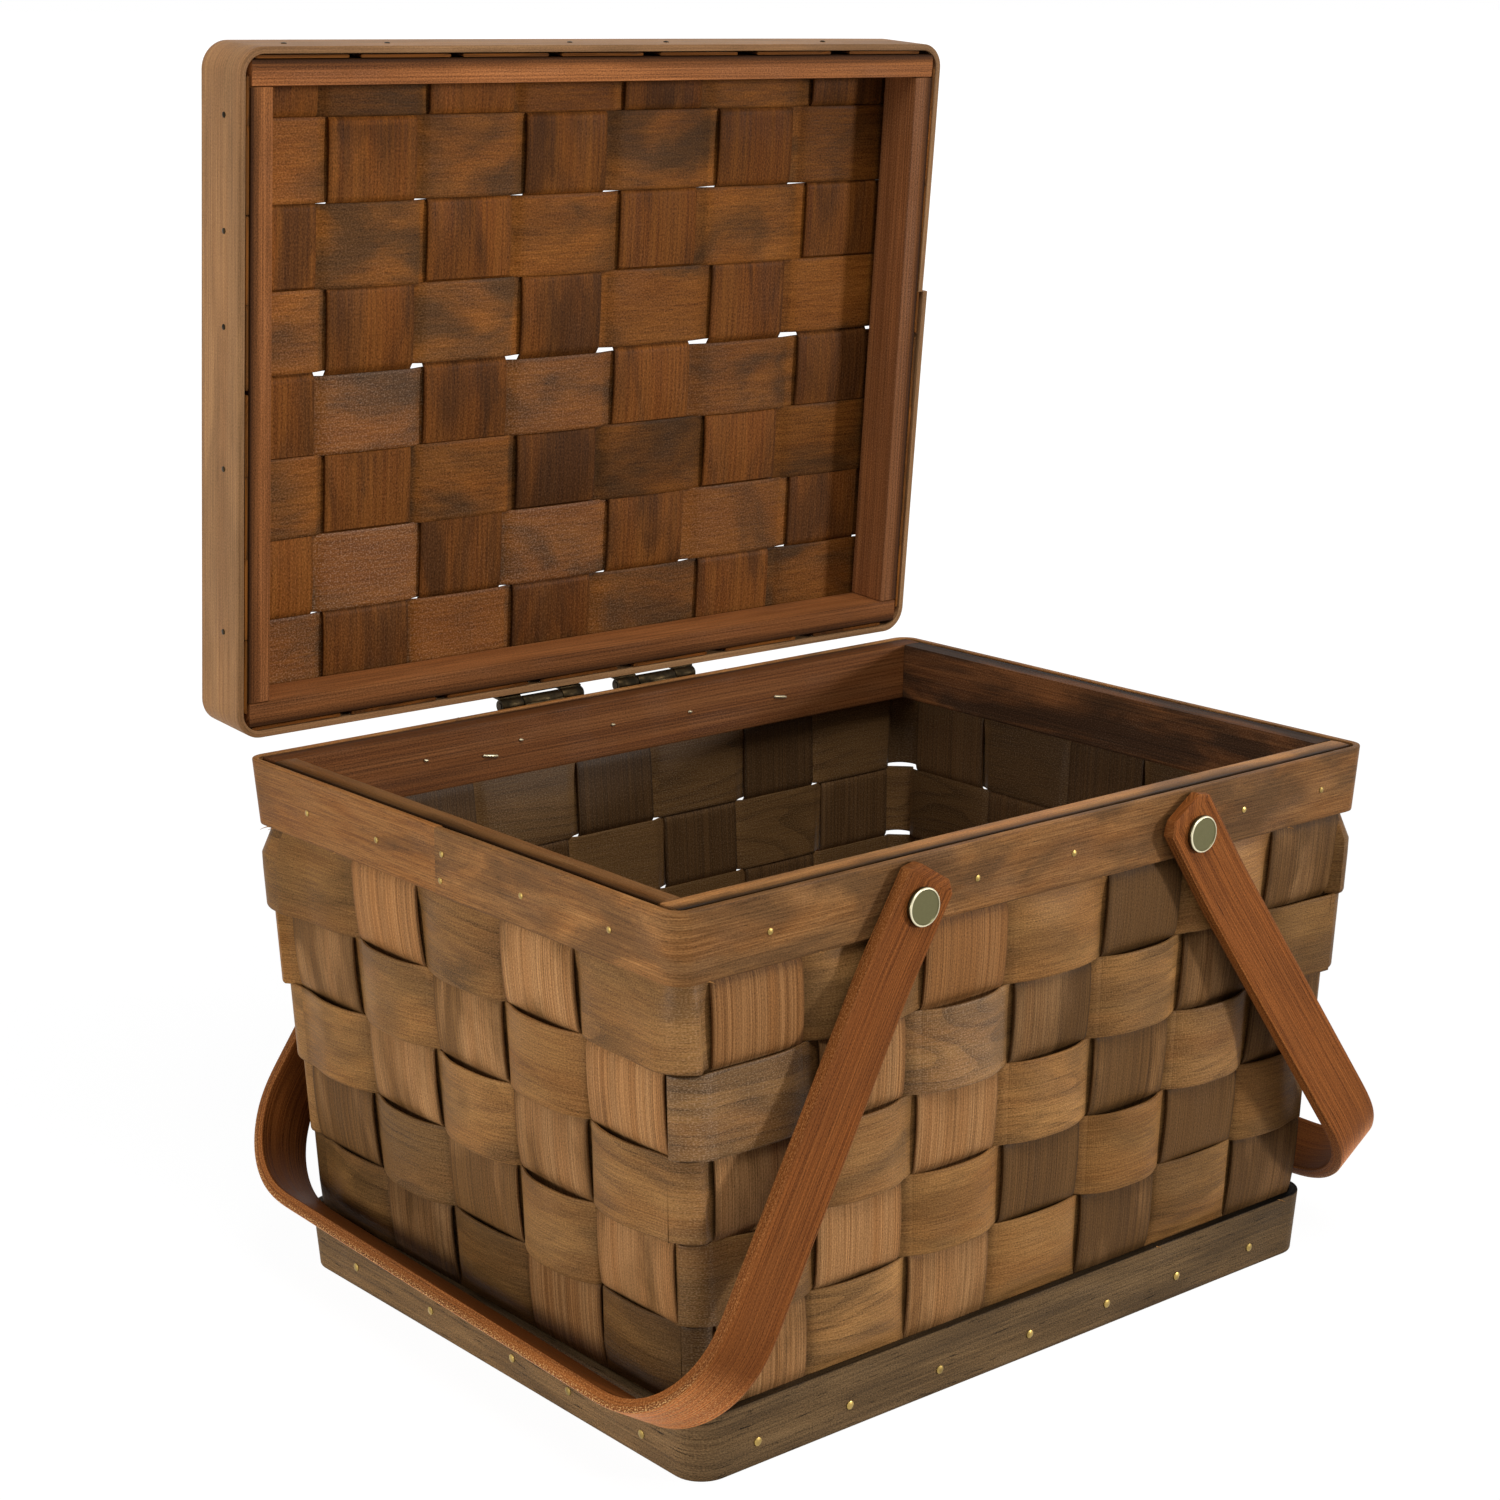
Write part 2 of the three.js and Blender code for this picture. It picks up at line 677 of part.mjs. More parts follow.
[['front', Math.PI], ['back', 0]].forEach(([face, turn]) => {
  [['left', -1], ['right', 1]].forEach(([label, side]) => {
    const piece = named(`rivet_${face}_${label}`, rivet(), paleBrass);
    piece.rotation.z = turn;
    piece.position.set(side * pivotX, 0, pivotZ);
    basket.add(piece);
  });
});

// The origin is the middle of the whole object's footprint, on the surface that it stands on.
const model = new THREE.Group();
model.add(basket);
model.updateMatrixWorld(true);
const bounds = new THREE.Box3().setFromObject(basket, true);
const middle = bounds.getCenter(new THREE.Vector3());
basket.position.set(-middle.x, -middle.y, -bounds.min.z);
model.updateMatrixWorld(true);

export default model;
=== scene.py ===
"""A plaited picnic basket with an open lid and two bentwood handles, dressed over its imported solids.

Shapes are worked out in millimetres in the basket's own frame: +X runs right along the front, +Y goes
to the hinged back, +Z is up, and the middle of the foot is the origin. A piece turns into metres of the
shared frame when its mesh is made.
"""
import json
import logging
import math
from dataclasses import dataclass, field, fields, replace
from enum import Enum
from functools import cache
from typing import Any, Callable, Optional, Sequence, Union

import bpy
import numpy as np
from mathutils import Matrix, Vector


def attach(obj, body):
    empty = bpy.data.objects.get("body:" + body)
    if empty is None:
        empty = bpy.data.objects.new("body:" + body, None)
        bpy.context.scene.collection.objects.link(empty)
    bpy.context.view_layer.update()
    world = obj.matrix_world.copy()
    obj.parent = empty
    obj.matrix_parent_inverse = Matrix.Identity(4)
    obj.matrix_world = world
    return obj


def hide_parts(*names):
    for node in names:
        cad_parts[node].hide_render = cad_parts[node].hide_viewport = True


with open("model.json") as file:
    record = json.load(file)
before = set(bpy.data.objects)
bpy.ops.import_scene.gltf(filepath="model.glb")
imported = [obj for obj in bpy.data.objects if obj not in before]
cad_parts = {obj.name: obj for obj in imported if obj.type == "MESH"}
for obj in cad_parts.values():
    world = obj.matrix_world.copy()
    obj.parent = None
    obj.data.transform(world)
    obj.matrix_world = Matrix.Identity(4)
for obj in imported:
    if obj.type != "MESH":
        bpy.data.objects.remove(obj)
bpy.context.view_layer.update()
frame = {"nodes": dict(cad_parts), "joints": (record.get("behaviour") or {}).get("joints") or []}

LOG = logging.getLogger("picnic_basket")
Array = np.ndarray
Floats = tuple[float, ...]
Pair = tuple[float, float]
Triple = tuple[float, float, float]
Colour = Triple
Profile = Callable[[Array], tuple[Array, Array]]

GRAIN_MAP = "grain"
LOOK_LABELS = ("tone", "stain", "wear", "sheen")
METRE = 0.001
WHITE = (1.0, 1.0, 1.0, 1.0)
SHARP_ANGLE = math.radians(42)
JOINTS = {joint["name"]: joint for joint in frame["joints"]}
PIVOTS = np.array([JOINTS[f"{side}_handle_pivot"]["pos_m"] for side in ("left", "right")])
BASKET_MIDDLE = PIVOTS.mean(axis=0) * np.array([1.0, 1.0, 0.0])
OPEN_ANGLE = math.radians(JOINTS["lid_hinge"]["range_deg"][1])


class Body(Enum):
    """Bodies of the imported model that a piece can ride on."""

    BASKET = "basket"
    LID = "lid"
    LEFT_HANDLE = "left_handle"
    RIGHT_HANDLE = "right_handle"


class Slot(Enum):
    """Material slots of the record."""

    STAKE = "stake_wood"
    WEAVER = "weaver_wood"
    RIM = "rim_wood"
    RAIL = "rail_wood"
    BASE = "base_wood"
    LID = "lid_wood"
    HANDLE = "handle_wood"
    AGED_BRASS = "aged_brass"
    PALE_BRASS = "pale_brass"


class Kind(Enum):
    """The two sets of splints: cross ones run front to back and long ones end to end."""

    CROSS = "cross"
    LONG = "long"

    @property
    def run_axis(self) -> int:
        """Axis along which the splints run, 0 for X and 1 for Y."""
        return 1 if self is Kind.CROSS else 0

    @property
    def other(self) -> "Kind":
        """The set that these splints cross."""
        return Kind.LONG if self is Kind.CROSS else Kind.CROSS


class Side(Enum):
    """The four sides of the basket or lid, walked anticlockwise from above."""

    LEFT = 0
    FRONT = 1
    RIGHT = 2
    BACK = 3


SIDE_OUT = np.array([[-1.0, 0.0], [0.0, -1.0], [1.0, 0.0], [0.0, 1.0]])
SIDE_ALONG = np.array([[0.0, -1.0], [1.0, 0.0], [0.0, 1.0], [-1.0, 0.0]])
SIDE_AXIS = np.array([0, 1, 0, 1])


def srgb(red: int, green: int, blue: int) -> Colour:
    """Turns a colour as a screen shows it, 0 to 255, into linear light."""
    return tuple(((part / 255 + 0.055) / 1.055) ** 2.4 for part in (red, green, blue))


def smooth(share: Array) -> Array:
    """Eases a share, held between 0 and 1: three times its square less twice its cube."""
    held = np.clip(share, 0.0, 1.0)
    return held * held * (3.0 - 2.0 * held)


def stepped(position: Array, places: Array, levels: Array) -> Array:
    """Follows levels set at rising places, easing from each one to the next.

    Args:
        position: Where the level is wanted.
        places: Rising places at which the levels hold.
        levels: Level at each place.

    Returns:
        Level at each position; beyond the ends the last level holds.
    """
    index = np.clip(np.searchsorted(places, position) - 1, 0, len(places) - 2)
    span = np.maximum(places[index + 1] - places[index], 1e-9)
    return levels[index] + (levels[index + 1] - levels[index]) * smooth((position - places[index]) / span)


def run_lengths(points: Array) -> Array:
    """Adds up the distance from the first of a row of points to each one."""
    steps = np.linalg.norm(np.diff(points, axis=0), axis=1)
    return np.concatenate([[0.0], np.cumsum(steps)])


@dataclass
class Surface:
    """A closed skin on a grid: rows run along the piece and columns go once round its section."""

    points: Array
    grain: Array
    tone: Array
    # Darkening: worn edges and grime, and painted shade where the rings lie deep.
    wear: Array
    stain: Array
    sheen: Array
    ring: bool = False

    def skin(self, start: int) -> tuple[list[list[int]], Array]:
        """Lists the faces of the skin, turned outwards, and the grain place of each of their corners.

        Neighbouring rows and columns make four-cornered faces, and an open skin gets a cap at each end.
        The sign of the enclosed volume, the sum of the triple products of the faces, says if they must turn.

        Args:
            start: Number of the first vertex in the mesh.

        Returns:
            Faces as vertex numbers, and one row of grain coordinates a corner.
        """
        rows, columns = self.points.shape[:2]
        row = np.arange(rows if self.ring else rows - 1)[:, None]
        column = np.arange(columns)[None, :]
        after, beside = (row + 1) % rows, (column + 1) % columns
        corners = [(row, column), (row, beside), (after, beside), (after, column)]
        quads = np.stack([a * columns + b for a, b in corners], axis=-1).reshape(-1, 4)
        steps = [(row, column), (row, column + 1), (row + 1, column + 1), (row + 1, column)]
        places = np.stack([self.grain[a, b] for a, b in steps], axis=2).reshape(-1, 4, 2)
        flat = self.points.reshape(-1, 3)
        first, second, third, fourth = (flat[quads[:, k]] for k in range(4))
        volume = np.einsum("ij,ij->", first, np.cross(second, third) + np.cross(third, fourth))
        caps = [] if self.ring else [np.arange(columns)[::-1], (rows - 1) * columns + np.arange(columns)]
        if volume < 0:
            quads, places = quads[:, ::-1], places[:, ::-1]
            caps = [cap[::-1] for cap in caps]
        faces = (quads + start).tolist() + [(cap + start).tolist() for cap in caps]
        ends = [self.grain[0, :columns], self.grain[rows - 1, :columns]][:len(caps)]
        return faces, np.concatenate([places.reshape(-1, 2), *ends])

    def moved(self, matrix: Array, shift: Array) -> "Surface":
        """Turns the skin by a three by three matrix, then shifts it; its grain stays."""
        return replace(self, points=self.points @ matrix.T + shift)


def make_piece(
    name: str,
    surfaces: Sequence[Surface],
    material: bpy.types.Material,
    body: Body,
    replaced: Sequence[str] = (),
) -> None:
    """Puts skins into one mesh object, with its grain map and look attributes, attaches it to its body and
    hides the solids that it stands for.

    Args:
        name: Name of the piece.
        surfaces: Skins in millimetres of the basket's frame.
        material: Finish of the piece.
        body: Body that the piece rides on.
        replaced: Solids that the piece stands for.
    """
    starts = np.concatenate([[0], np.cumsum([surface.tone.size for surface in surfaces])])
    skins = [surface.skin(int(start)) for surface, start in zip(surfaces, starts)]
    points = np.concatenate([surface.points.reshape(-1, 3) for surface in surfaces]) * METRE + BASKET_MIDDLE
    mesh = bpy.data.meshes.new(name)
    faces = [face for skin, _ in skins for face in skin]
    mesh.from_pydata(points.tolist(), [], faces, shade_flat=False)
    grain = np.concatenate([places for _, places in skins]) * METRE
    mesh.uv_layers.new(name=GRAIN_MAP).uv.foreach_set("vector", grain.ravel())
    for label in LOOK_LABELS:
        values = np.concatenate([getattr(surface, label).ravel() for surface in surfaces])
        mesh.attributes.new(label, "FLOAT", "POINT").data.foreach_set("value", values)
    mesh.set_sharp_from_angle(angle=SHARP_ANGLE)
    mesh.materials.append(material)
    piece = bpy.data.objects.new(name, mesh)
    bpy.context.scene.collection.objects.link(piece)
    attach(piece, body.value)
    if replaced:
        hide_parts(*replaced)
    LOG.info("%s: %d faces on %s", name, len(mesh.polygons), body.value)


def math_node(operation: str, reflected: bool = False) -> Callable[..., "Flow"]:
    """Makes an operator of flows that adds one Math node.

    Args:
        operation: Blender's name of the operation.
        reflected: Whether the other operand comes first.

    Returns:
        The operator.
    """

    def operate(flow: "Flow", other: Any = 0.0) -> "Flow":
        """Joins a flow with another one or with a number."""
        operands = (other, flow) if reflected else (flow, other)
        return flow.shader.node("ShaderNodeMath", {"operation": operation}, dict(enumerate(operands)))

    return operate


class Flow:
    """A socket of a node tree; sums and products of flows and numbers add Math nodes."""

    def __init__(self, shader: "Shader", socket: bpy.types.NodeSocket) -> None:
        """Keeps the socket and the shader that it belongs to."""
        self.shader = shader
        self.socket = socket

    __add__ = math_node("ADD")
    __radd__ = math_node("ADD", reflected=True)
    __sub__ = math_node("SUBTRACT")
    __rsub__ = math_node("SUBTRACT", reflected=True)
    __mul__ = math_node("MULTIPLY")
    __rmul__ = math_node("MULTIPLY", reflected=True)
    fraction = math_node("FRACT")
    greater = math_node("MAXIMUM")


class Shader:
    """The nodes of a material or of the world, under construction."""

    def __init__(self, owner: Union[bpy.types.Material, bpy.types.World]) -> None:
        """Empties the owner's node tree.

        Args:
            owner: Material or world that the nodes belong to.
        """
        owner.use_nodes = True
        self.owner = owner
        self.tree = owner.node_tree
        self.tree.nodes.clear()

    @staticmethod
    def socket(sockets: Any, key: Union[str, int]) -> bpy.types.NodeSocket:
        """Finds a socket of a node by number, identifier or name.

        Args:
            sockets: Inputs or outputs of the node.
            key: What to look for.

        Returns:
            The first socket that fits.
        """
        if isinstance(key, int):
            return sockets[key]
        return next(socket for socket in sockets if key in (socket.identifier, socket.name))

    def add(
        self,
        kind: str,
        settings: Optional[dict[str, Any]] = None,
        inputs: Optional[dict[Union[str, int], Any]] = None,
    ) -> bpy.types.Node:
        """Adds a node, sets it up, then fills or links its sockets.

        Args:
            kind: Blender's type of node.
            settings: Attributes to set first.
            inputs: Value or flow of each socket, by name, identifier or number.

        Returns:
            The node.
        """
        made = self.tree.nodes.new(kind)
        for key, value in (settings or {}).items():
            setattr(made, key, value)
        for key, value in (inputs or {}).items():
            socket = self.socket(made.inputs, key)
            if isinstance(value, Flow):
                self.tree.links.new(value.socket, socket)
            else:
                socket.default_value = value
        return made

    def node(
        self,
        kind: str,
        settings: Optional[dict[str, Any]] = None,
        inputs: Optional[dict[Union[str, int], Any]] = None,
        output: Union[str, int] = 0,
    ) -> Flow:
        """Adds a node as add does, and gives the flow of one output, found by name, identifier or number."""
        return Flow(self, self.socket(self.add(kind, settings, inputs).outputs, output))

    def grain(self) -> Flow:
        """The piece's own grain map: metres along the grain and across it."""
        return self.node("ShaderNodeUVMap", {"uv_map": GRAIN_MAP})

    def attribute(self, name: str) -> Flow:
        """A number that the mesh carries under that name."""
        return self.node("ShaderNodeAttribute", {"attribute_name": name}, output="Fac")

    def stretched(self, place: Flow, scale: Sequence[float], shift: Sequence[float] = (0, 0, 0)) -> Flow:
        """Scales a place by so many repeats a metre on each axis, then shifts it."""
        return self.node("ShaderNodeMapping", {}, {"Vector": place, "Scale": scale, "Location": shift})

    def noise(self, place: Flow, detail: float, roughness: float, skew: float = 0.0) -> Flow:
        """Soft noise around one half: octaves of detail, their strength, and how far it is dragged askew."""
        shape = {"Scale": 1.0, "Detail": detail, "Roughness": roughness, "Distortion": skew}
        return self.node("ShaderNodeTexNoise", {"noise_dimensions": "3D"}, {"Vector": place, **shape}, "Fac")

    def ranged(self, value: Flow, low: float, high: float) -> Flow:
        """Stretches a value so that low becomes 0 and high becomes 1, eased between."""
        settings = {"interpolation_type": "SMOOTHSTEP"}
        return self.node("ShaderNodeMapRange", settings, {"Value": value, "From Min": low, "From Max": high})

    def mixed(self, share: Any, first: Any, second: Any) -> Flow:
        """Mixes two colours by a share.

        Args:
            share: Share of the second colour.
            first: First colour.
            second: Second colour.

        Returns:
            The mixed colour.
        """
        colours = {
            "A_Color": first if isinstance(first, Flow) else (*first, 1.0),
            "B_Color": second if isinstance(second, Flow) else (*second, 1.0),
        }
        settings = {"data_type": "RGBA", "clamp_factor": True}
        return self.node("ShaderNodeMix", settings, {"Factor_Float": share, **colours}, "Result_Color")

    def brightened(self, colour: Flow, factor: Flow) -> Flow:
        """Multiplies a colour by a number."""
        return self.node("ShaderNodeVectorMath", {"operation": "SCALE"}, {"Vector": colour, "Scale": factor})

    def finished(self, inputs: dict[str, Any]) -> bpy.types.Material:
        """Closes the material with a Principled shader.

        Args:
            inputs: Values and flows of the shader's sockets.

        Returns:
            The finished material.
        """
        surface = self.node("ShaderNodeBsdfPrincipled", {}, inputs)
        self.add("ShaderNodeOutputMaterial", {}, {"Surface": surface})
        return self.owner


@dataclass(frozen=True)
class WoodFinish:
    """Stained splint or rail wood. Scales are repeats a metre along the grain and across it."""

    name: str
    warm: Colour
    pale: Colour
    stain: Colour
    # Colour of the painted glints.
    glint: Colour = srgb(168, 148, 128)
    figure: Pair = (10.0, 150.0)
    figure_share: float = 0.5
    cloud: Pair = (26.0, 50.0)
    cloud_range: Pair = (0.36, 0.66)
    cloud_share: float = 0.75
    lines: Pair = (22.0, 1300.0)
    line_share: float = 0.3
    ring_share: float = 0.0
    fleck_share: float = 0.14
    pore_share: float = 0.24
    speckle: Pair = (1500.0, 2400.0)
    speckle_share: float = 1.1
    wear_share: float = 0.45
    gloss: Pair = (0.42, 0.6)
    shine: float = 0.06
    coat: float = 0.1
    coat_share: float = 0.45
    relief: float = 0.00010

    @cache
    def material(self) -> bpy.types.Material:
        """Builds the wood from layers of noise stretched along the grain.

        Figure mixes the warm and the pale colour and clouds mix in the stain. Lines, flecks, pores, speckle
        and growth rings change the brightness, and the fine layers make the relief. The mesh adds tone,
        stain, darkening and sheen; tone and darkening also carry painted light and shade. Sheen makes a
        glossy coat and paints glints of the glint colour where the speckle is high, a painted highlight.

        Returns:
            The finished material, the same one each time.
        """
        shader = Shader(bpy.data.materials.new(self.name))
        grain = shader.grain()
        tone, stain, wear, sheen = (shader.attribute(label) for label in LOOK_LABELS)

        def layer(scale: Sequence[float], shift: float, *character: float) -> Flow:
            """Noise of that detail, roughness and skew; the shift keeps layers from looking alike."""
            place = shader.stretched(grain, (*scale, 1.0), (shift, 2.3 * shift, 0.0))
            return shader.noise(place, *character)

        clouds = layer(self.cloud, 3.1, 4.0, 0.55, 0.7)
        stained = shader.ranged(clouds + stain * 0.12, *self.cloud_range) * self.cloud_share
        figure = shader.ranged(layer(self.figure, 0.0, 3.0, 0.55, 0.3), 0.34, 0.66)
        lines = layer(self.lines, 1.3, 3.0, 0.62)
        fine = shader.ranged(lines, 0.30, 0.70)
        dashes = layer((self.lines[0] * 6.0, self.lines[1] * 1.4), 5.0, 2.0, 0.5)
        pores, flecks = shader.ranged(dashes, 0.40, 0.28), shader.ranged(dashes, 0.58, 0.72)
        speckle = layer(self.speckle, 0.7, 2.0, 0.6)
        growth = shader.ranged((layer((5.0, 34.0), 1.9, 1.0, 0.4, 0.5) * 15.0).fraction(), 0.45, 0.95)
        rings = growth * shader.ranged(layer((9.0, 12.0), 4.1, 1.0, 0.5), 0.46, 0.60)
        blend = figure * self.figure_share + fine * (1.0 - self.figure_share) + stain * 0.15
        colour = shader.mixed(stained, shader.mixed(blend, self.warm, self.pale), self.stain)
        light = 1.0 + (fine - 0.5) * self.line_share + (speckle - 0.5) * self.speckle_share
        light = light + flecks * self.fleck_share - pores * self.pore_share - rings * self.ring_share
        light = light * (1.0 + tone) * (1.0 - wear * self.wear_share)
        patches = shader.ranged(layer((42.0, 60.0), 6.3, 2.0, 0.5), 0.48, 0.70)
        glossy = sheen + patches * self.coat
        # Painted highlight: where the sheen is high, speckled glints of the glint colour are mixed into the
        # base colour.
        glints = shader.ranged(speckle, 0.50, 0.66) * glossy * 0.45
        colour = shader.mixed(glints, shader.brightened(colour, light), self.glint)
        rough = self.gloss[0] + (self.gloss[1] - self.gloss[0]) * fine + wear * 0.1
        height = lines * 0.8 + dashes * 0.4 + speckle * 0.6
        relief = {"Height": height, "Strength": 0.8, "Distance": self.relief}
        return shader.finished({
            "Base Color": colour,
            "Roughness": rough,
            "Normal": shader.node("ShaderNodeBump", {}, relief, "Normal"),
            "Specular IOR Level": self.shine,
            "Coat Weight": glossy * self.coat_share,
            "Coat Roughness": 0.5,
        })


@dataclass(frozen=True)
class BrassFinish:
    """Brass of hinges, nails and rivets, on Object coordinates."""

    name: str
    bright: Colour
    dull: Colour
    tarnish: float
    rough: Pair
    polished: Colour = srgb(250, 240, 205)

    @cache
    def material(self) -> bpy.types.Material:
        """Builds brass with clouds of tarnish and fine scratches.

        Tarnish is soft noise that darkens and dulls the metal; stretched noise makes the scratches. Sheen of
        the mesh mixes in a bright colour, a painted highlight on the rims of the rivet caps.

        Returns:
            The finished material, the same one each time.
        """
        shader = Shader(bpy.data.materials.new(self.name))
        place = shader.node("ShaderNodeTexCoord", {}, {}, "Object")
        clouds = shader.noise(shader.stretched(place, (260.0, 260.0, 260.0)), 4.0, 0.6)
        clouds = shader.ranged(clouds, 0.35, 0.68)
        scratches = shader.noise(shader.stretched(place, (900.0, 5200.0, 4200.0)), 2.0, 0.5)
        colour = shader.mixed(clouds * self.tarnish, self.bright, self.dull)
        colour = shader.brightened(colour, 0.9 + scratches * 0.2)
        relief = {"Height": scratches, "Strength": 0.25, "Distance": 0.00004}
        return shader.finished({
            "Base Color": shader.mixed(shader.attribute("sheen"), colour, self.polished),
            "Roughness": self.rough[0] + (self.rough[1] - self.rough[0]) * clouds + scratches * 0.05,
            "Metallic": 1.0,
            "Normal": shader.node("ShaderNodeBump", {}, relief, "Normal"),
        })


STAKE_WOOD = WoodFinish(
    "stake_splint",
    warm=srgb(154, 104, 59), pale=srgb(174, 130, 85), stain=srgb(98, 67, 34),
    figure=(3.0, 130.0), figure_share=0.5, cloud=(16.0, 44.0), cloud_range=(0.44, 0.76), cloud_share=0.85,
    lines=(7.0, 2200.0), line_share=0.66, speckle_share=1.7, gloss=(0.46, 0.64), coat=0.06,
)
WEAVER_WOOD = WoodFinish(
    "weaver_splint",
    warm=srgb(144, 97, 51), pale=srgb(162, 118, 68), stain=srgb(104, 75, 43),
    figure=(18.0, 70.0), figure_share=0.65, cloud=(22.0, 52.0), cloud_range=(0.40, 0.70), cloud_share=0.7,
    lines=(44.0, 1800.0), line_share=0.34, ring_share=0.26, speckle_share=1.9, gloss=(0.40, 0.56),
)
RIM_WOOD = WoodFinish(
    "rim_band",
    warm=srgb(140, 89, 44), pale=srgb(156, 111, 66), stain=srgb(92, 66, 41),
    figure=(22.0, 120.0), cloud=(24.0, 60.0), cloud_range=(0.40, 0.70), lines=(40.0, 1800.0), line_share=0.5,
    fleck_share=0.2, pore_share=0.4, speckle_share=1.5, gloss=(0.38, 0.56), coat=0.14,
)
LID_BAND_WOOD = WoodFinish(
    "lid_band",
    warm=srgb(154, 109, 70), pale=srgb(170, 129, 88), stain=srgb(126, 93, 62),
    figure=(5.0, 120.0), cloud=(12.0, 60.0), cloud_share=0.6, lines=(14.0, 1500.0), line_share=0.32,
)
RAIL_WOOD = WoodFinish(
    "rail_timber",
    warm=srgb(122, 72, 36), pale=srgb(140, 89, 50), stain=srgb(92, 54, 28),
    figure=(3.0, 170.0), cloud=(9.0, 60.0), cloud_share=0.6, lines=(8.0, 1500.0), line_share=0.56,
    speckle_share=2.0, gloss=(0.5, 0.68),
)
AGED_RAIL_WOOD = replace(
    RAIL_WOOD, name="aged_rail", stain=srgb(46, 33, 22),
    cloud=(13.0, 70.0), cloud_range=(0.40, 0.62), cloud_share=0.85,
)
BASE_WOOD = WoodFinish(
    "base_band",
    warm=srgb(104, 80, 52), pale=srgb(118, 93, 63), stain=srgb(78, 61, 42),
    figure=(9.0, 120.0), cloud=(16.0, 80.0), cloud_share=0.6, lines=(16.0, 900.0), line_share=0.45,
    pore_share=0.7, speckle_share=2.4, gloss=(0.5, 0.7), relief=0.00022,
)
LID_LONG_WOOD = WoodFinish(
    "lid_long_splint",
    warm=srgb(126, 72, 25), pale=srgb(139, 85, 34), stain=srgb(75, 50, 26),
    figure=(20.0, 70.0), cloud=(22.0, 38.0), cloud_range=(0.38, 0.70), cloud_share=0.9, lines=(60.0, 1000.0),
    speckle=(1400.0, 1700.0), speckle_share=2.2, ring_share=0.1, gloss=(0.36, 0.5), shine=0.03, coat=0.06,
)
LID_CROSS_WOOD = WoodFinish(
    "lid_cross_splint",
    warm=srgb(114, 63, 23), pale=srgb(126, 76, 31), stain=srgb(73, 44, 21),
    figure=(5.0, 110.0), cloud=(18.0, 60.0), cloud_range=(0.40, 0.68), cloud_share=0.8,
    lines=(12.0, 1000.0), line_share=0.34, speckle=(1200.0, 1700.0), speckle_share=2.2, gloss=(0.4, 0.58),
    shine=0.03, coat=0.05,
)
# Its tan glint colour paints the light on the outer face of the bight.
HANDLE_WOOD = WoodFinish(
    "handle_bentwood",
    warm=srgb(119, 64, 26), pale=srgb(136, 80, 37), stain=srgb(87, 51, 26), glint=srgb(224, 176, 112),
    figure=(4.0, 150.0), figure_share=0.3, cloud=(10.0, 70.0), cloud_share=0.3, lines=(10.0, 1900.0),
    line_share=0.62, pore_share=0.5, speckle_share=1.8, shine=0.04, coat=0.05, coat_share=0.08,
)
AGED_BRASS = BrassFinish("aged_brass", srgb(54, 43, 27), srgb(26, 22, 15), 0.9, (0.34, 0.6))
NAIL_BRASS = BrassFinish("nail_brass", srgb(176, 148, 84), srgb(98, 80, 44), 0.7, (0.3, 0.5))
PALE_BRASS = BrassFinish("pale_brass", srgb(102, 98, 68), srgb(84, 80, 54), 0.6, (0.26, 0.4))
NAIL_STEEL = BrassFinish("nail_steel", srgb(190, 178, 148), srgb(120, 106, 82), 0.6, (0.3, 0.5))


FACE_SHARES = np.array([-1.0, -0.93, -0.75, -0.4, 0.0, 0.4, 0.75, 0.93, 1.0])
EDGE_TURNS = np.radians([45.0, 0.0, -45.0])


@dataclass(frozen=True)
class Strip:
    """Section of a flat strip of wood or metal with rounded edges."""

    radius: float
    wear_margin: float = 2.0

    def outline(self, width: Array, thickness: Array) -> tuple[Array, Array, Array]:
        """Walks once round the section at each station.

        The face points lie at set shares of the width. The edges are quarter rounds of the radius:
        across = share times (half width less radius) + radius times cosine, and out the same with sine.

        Args:
            width: Width at each station.
            thickness: Thickness at each station.

        Returns:
            Place across the strip, place out of its middle, and nearness to an edge, each station by point.
        """
        faces, turns = np.ones(FACE_SHARES.size), np.ones(EDGE_TURNS.size)
        share = np.concatenate([FACE_SHARES, turns, FACE_SHARES[::-1], -turns])
        cosine = np.concatenate([0 * faces, np.cos(EDGE_TURNS), 0 * faces, -np.cos(EDGE_TURNS)])
        sine = np.concatenate([faces, np.sin(EDGE_TURNS), -faces, -np.sin(EDGE_TURNS)])
        level = np.concatenate([faces, np.sign(EDGE_TURNS), -faces, -np.sign(EDGE_TURNS)])
        half_width, half_thick = np.atleast_1d(width)[:, None] / 2, np.atleast_1d(thickness)[:, None] / 2
        radius = np.minimum(self.radius, half_thick)
        across = share * (half_width - radius) + cosine * radius
        out = level * (half_thick - radius) + sine * radius
        edge = smooth((np.abs(across) - half_width + self.wear_margin) / self.wear_margin)
        return across, out, edge


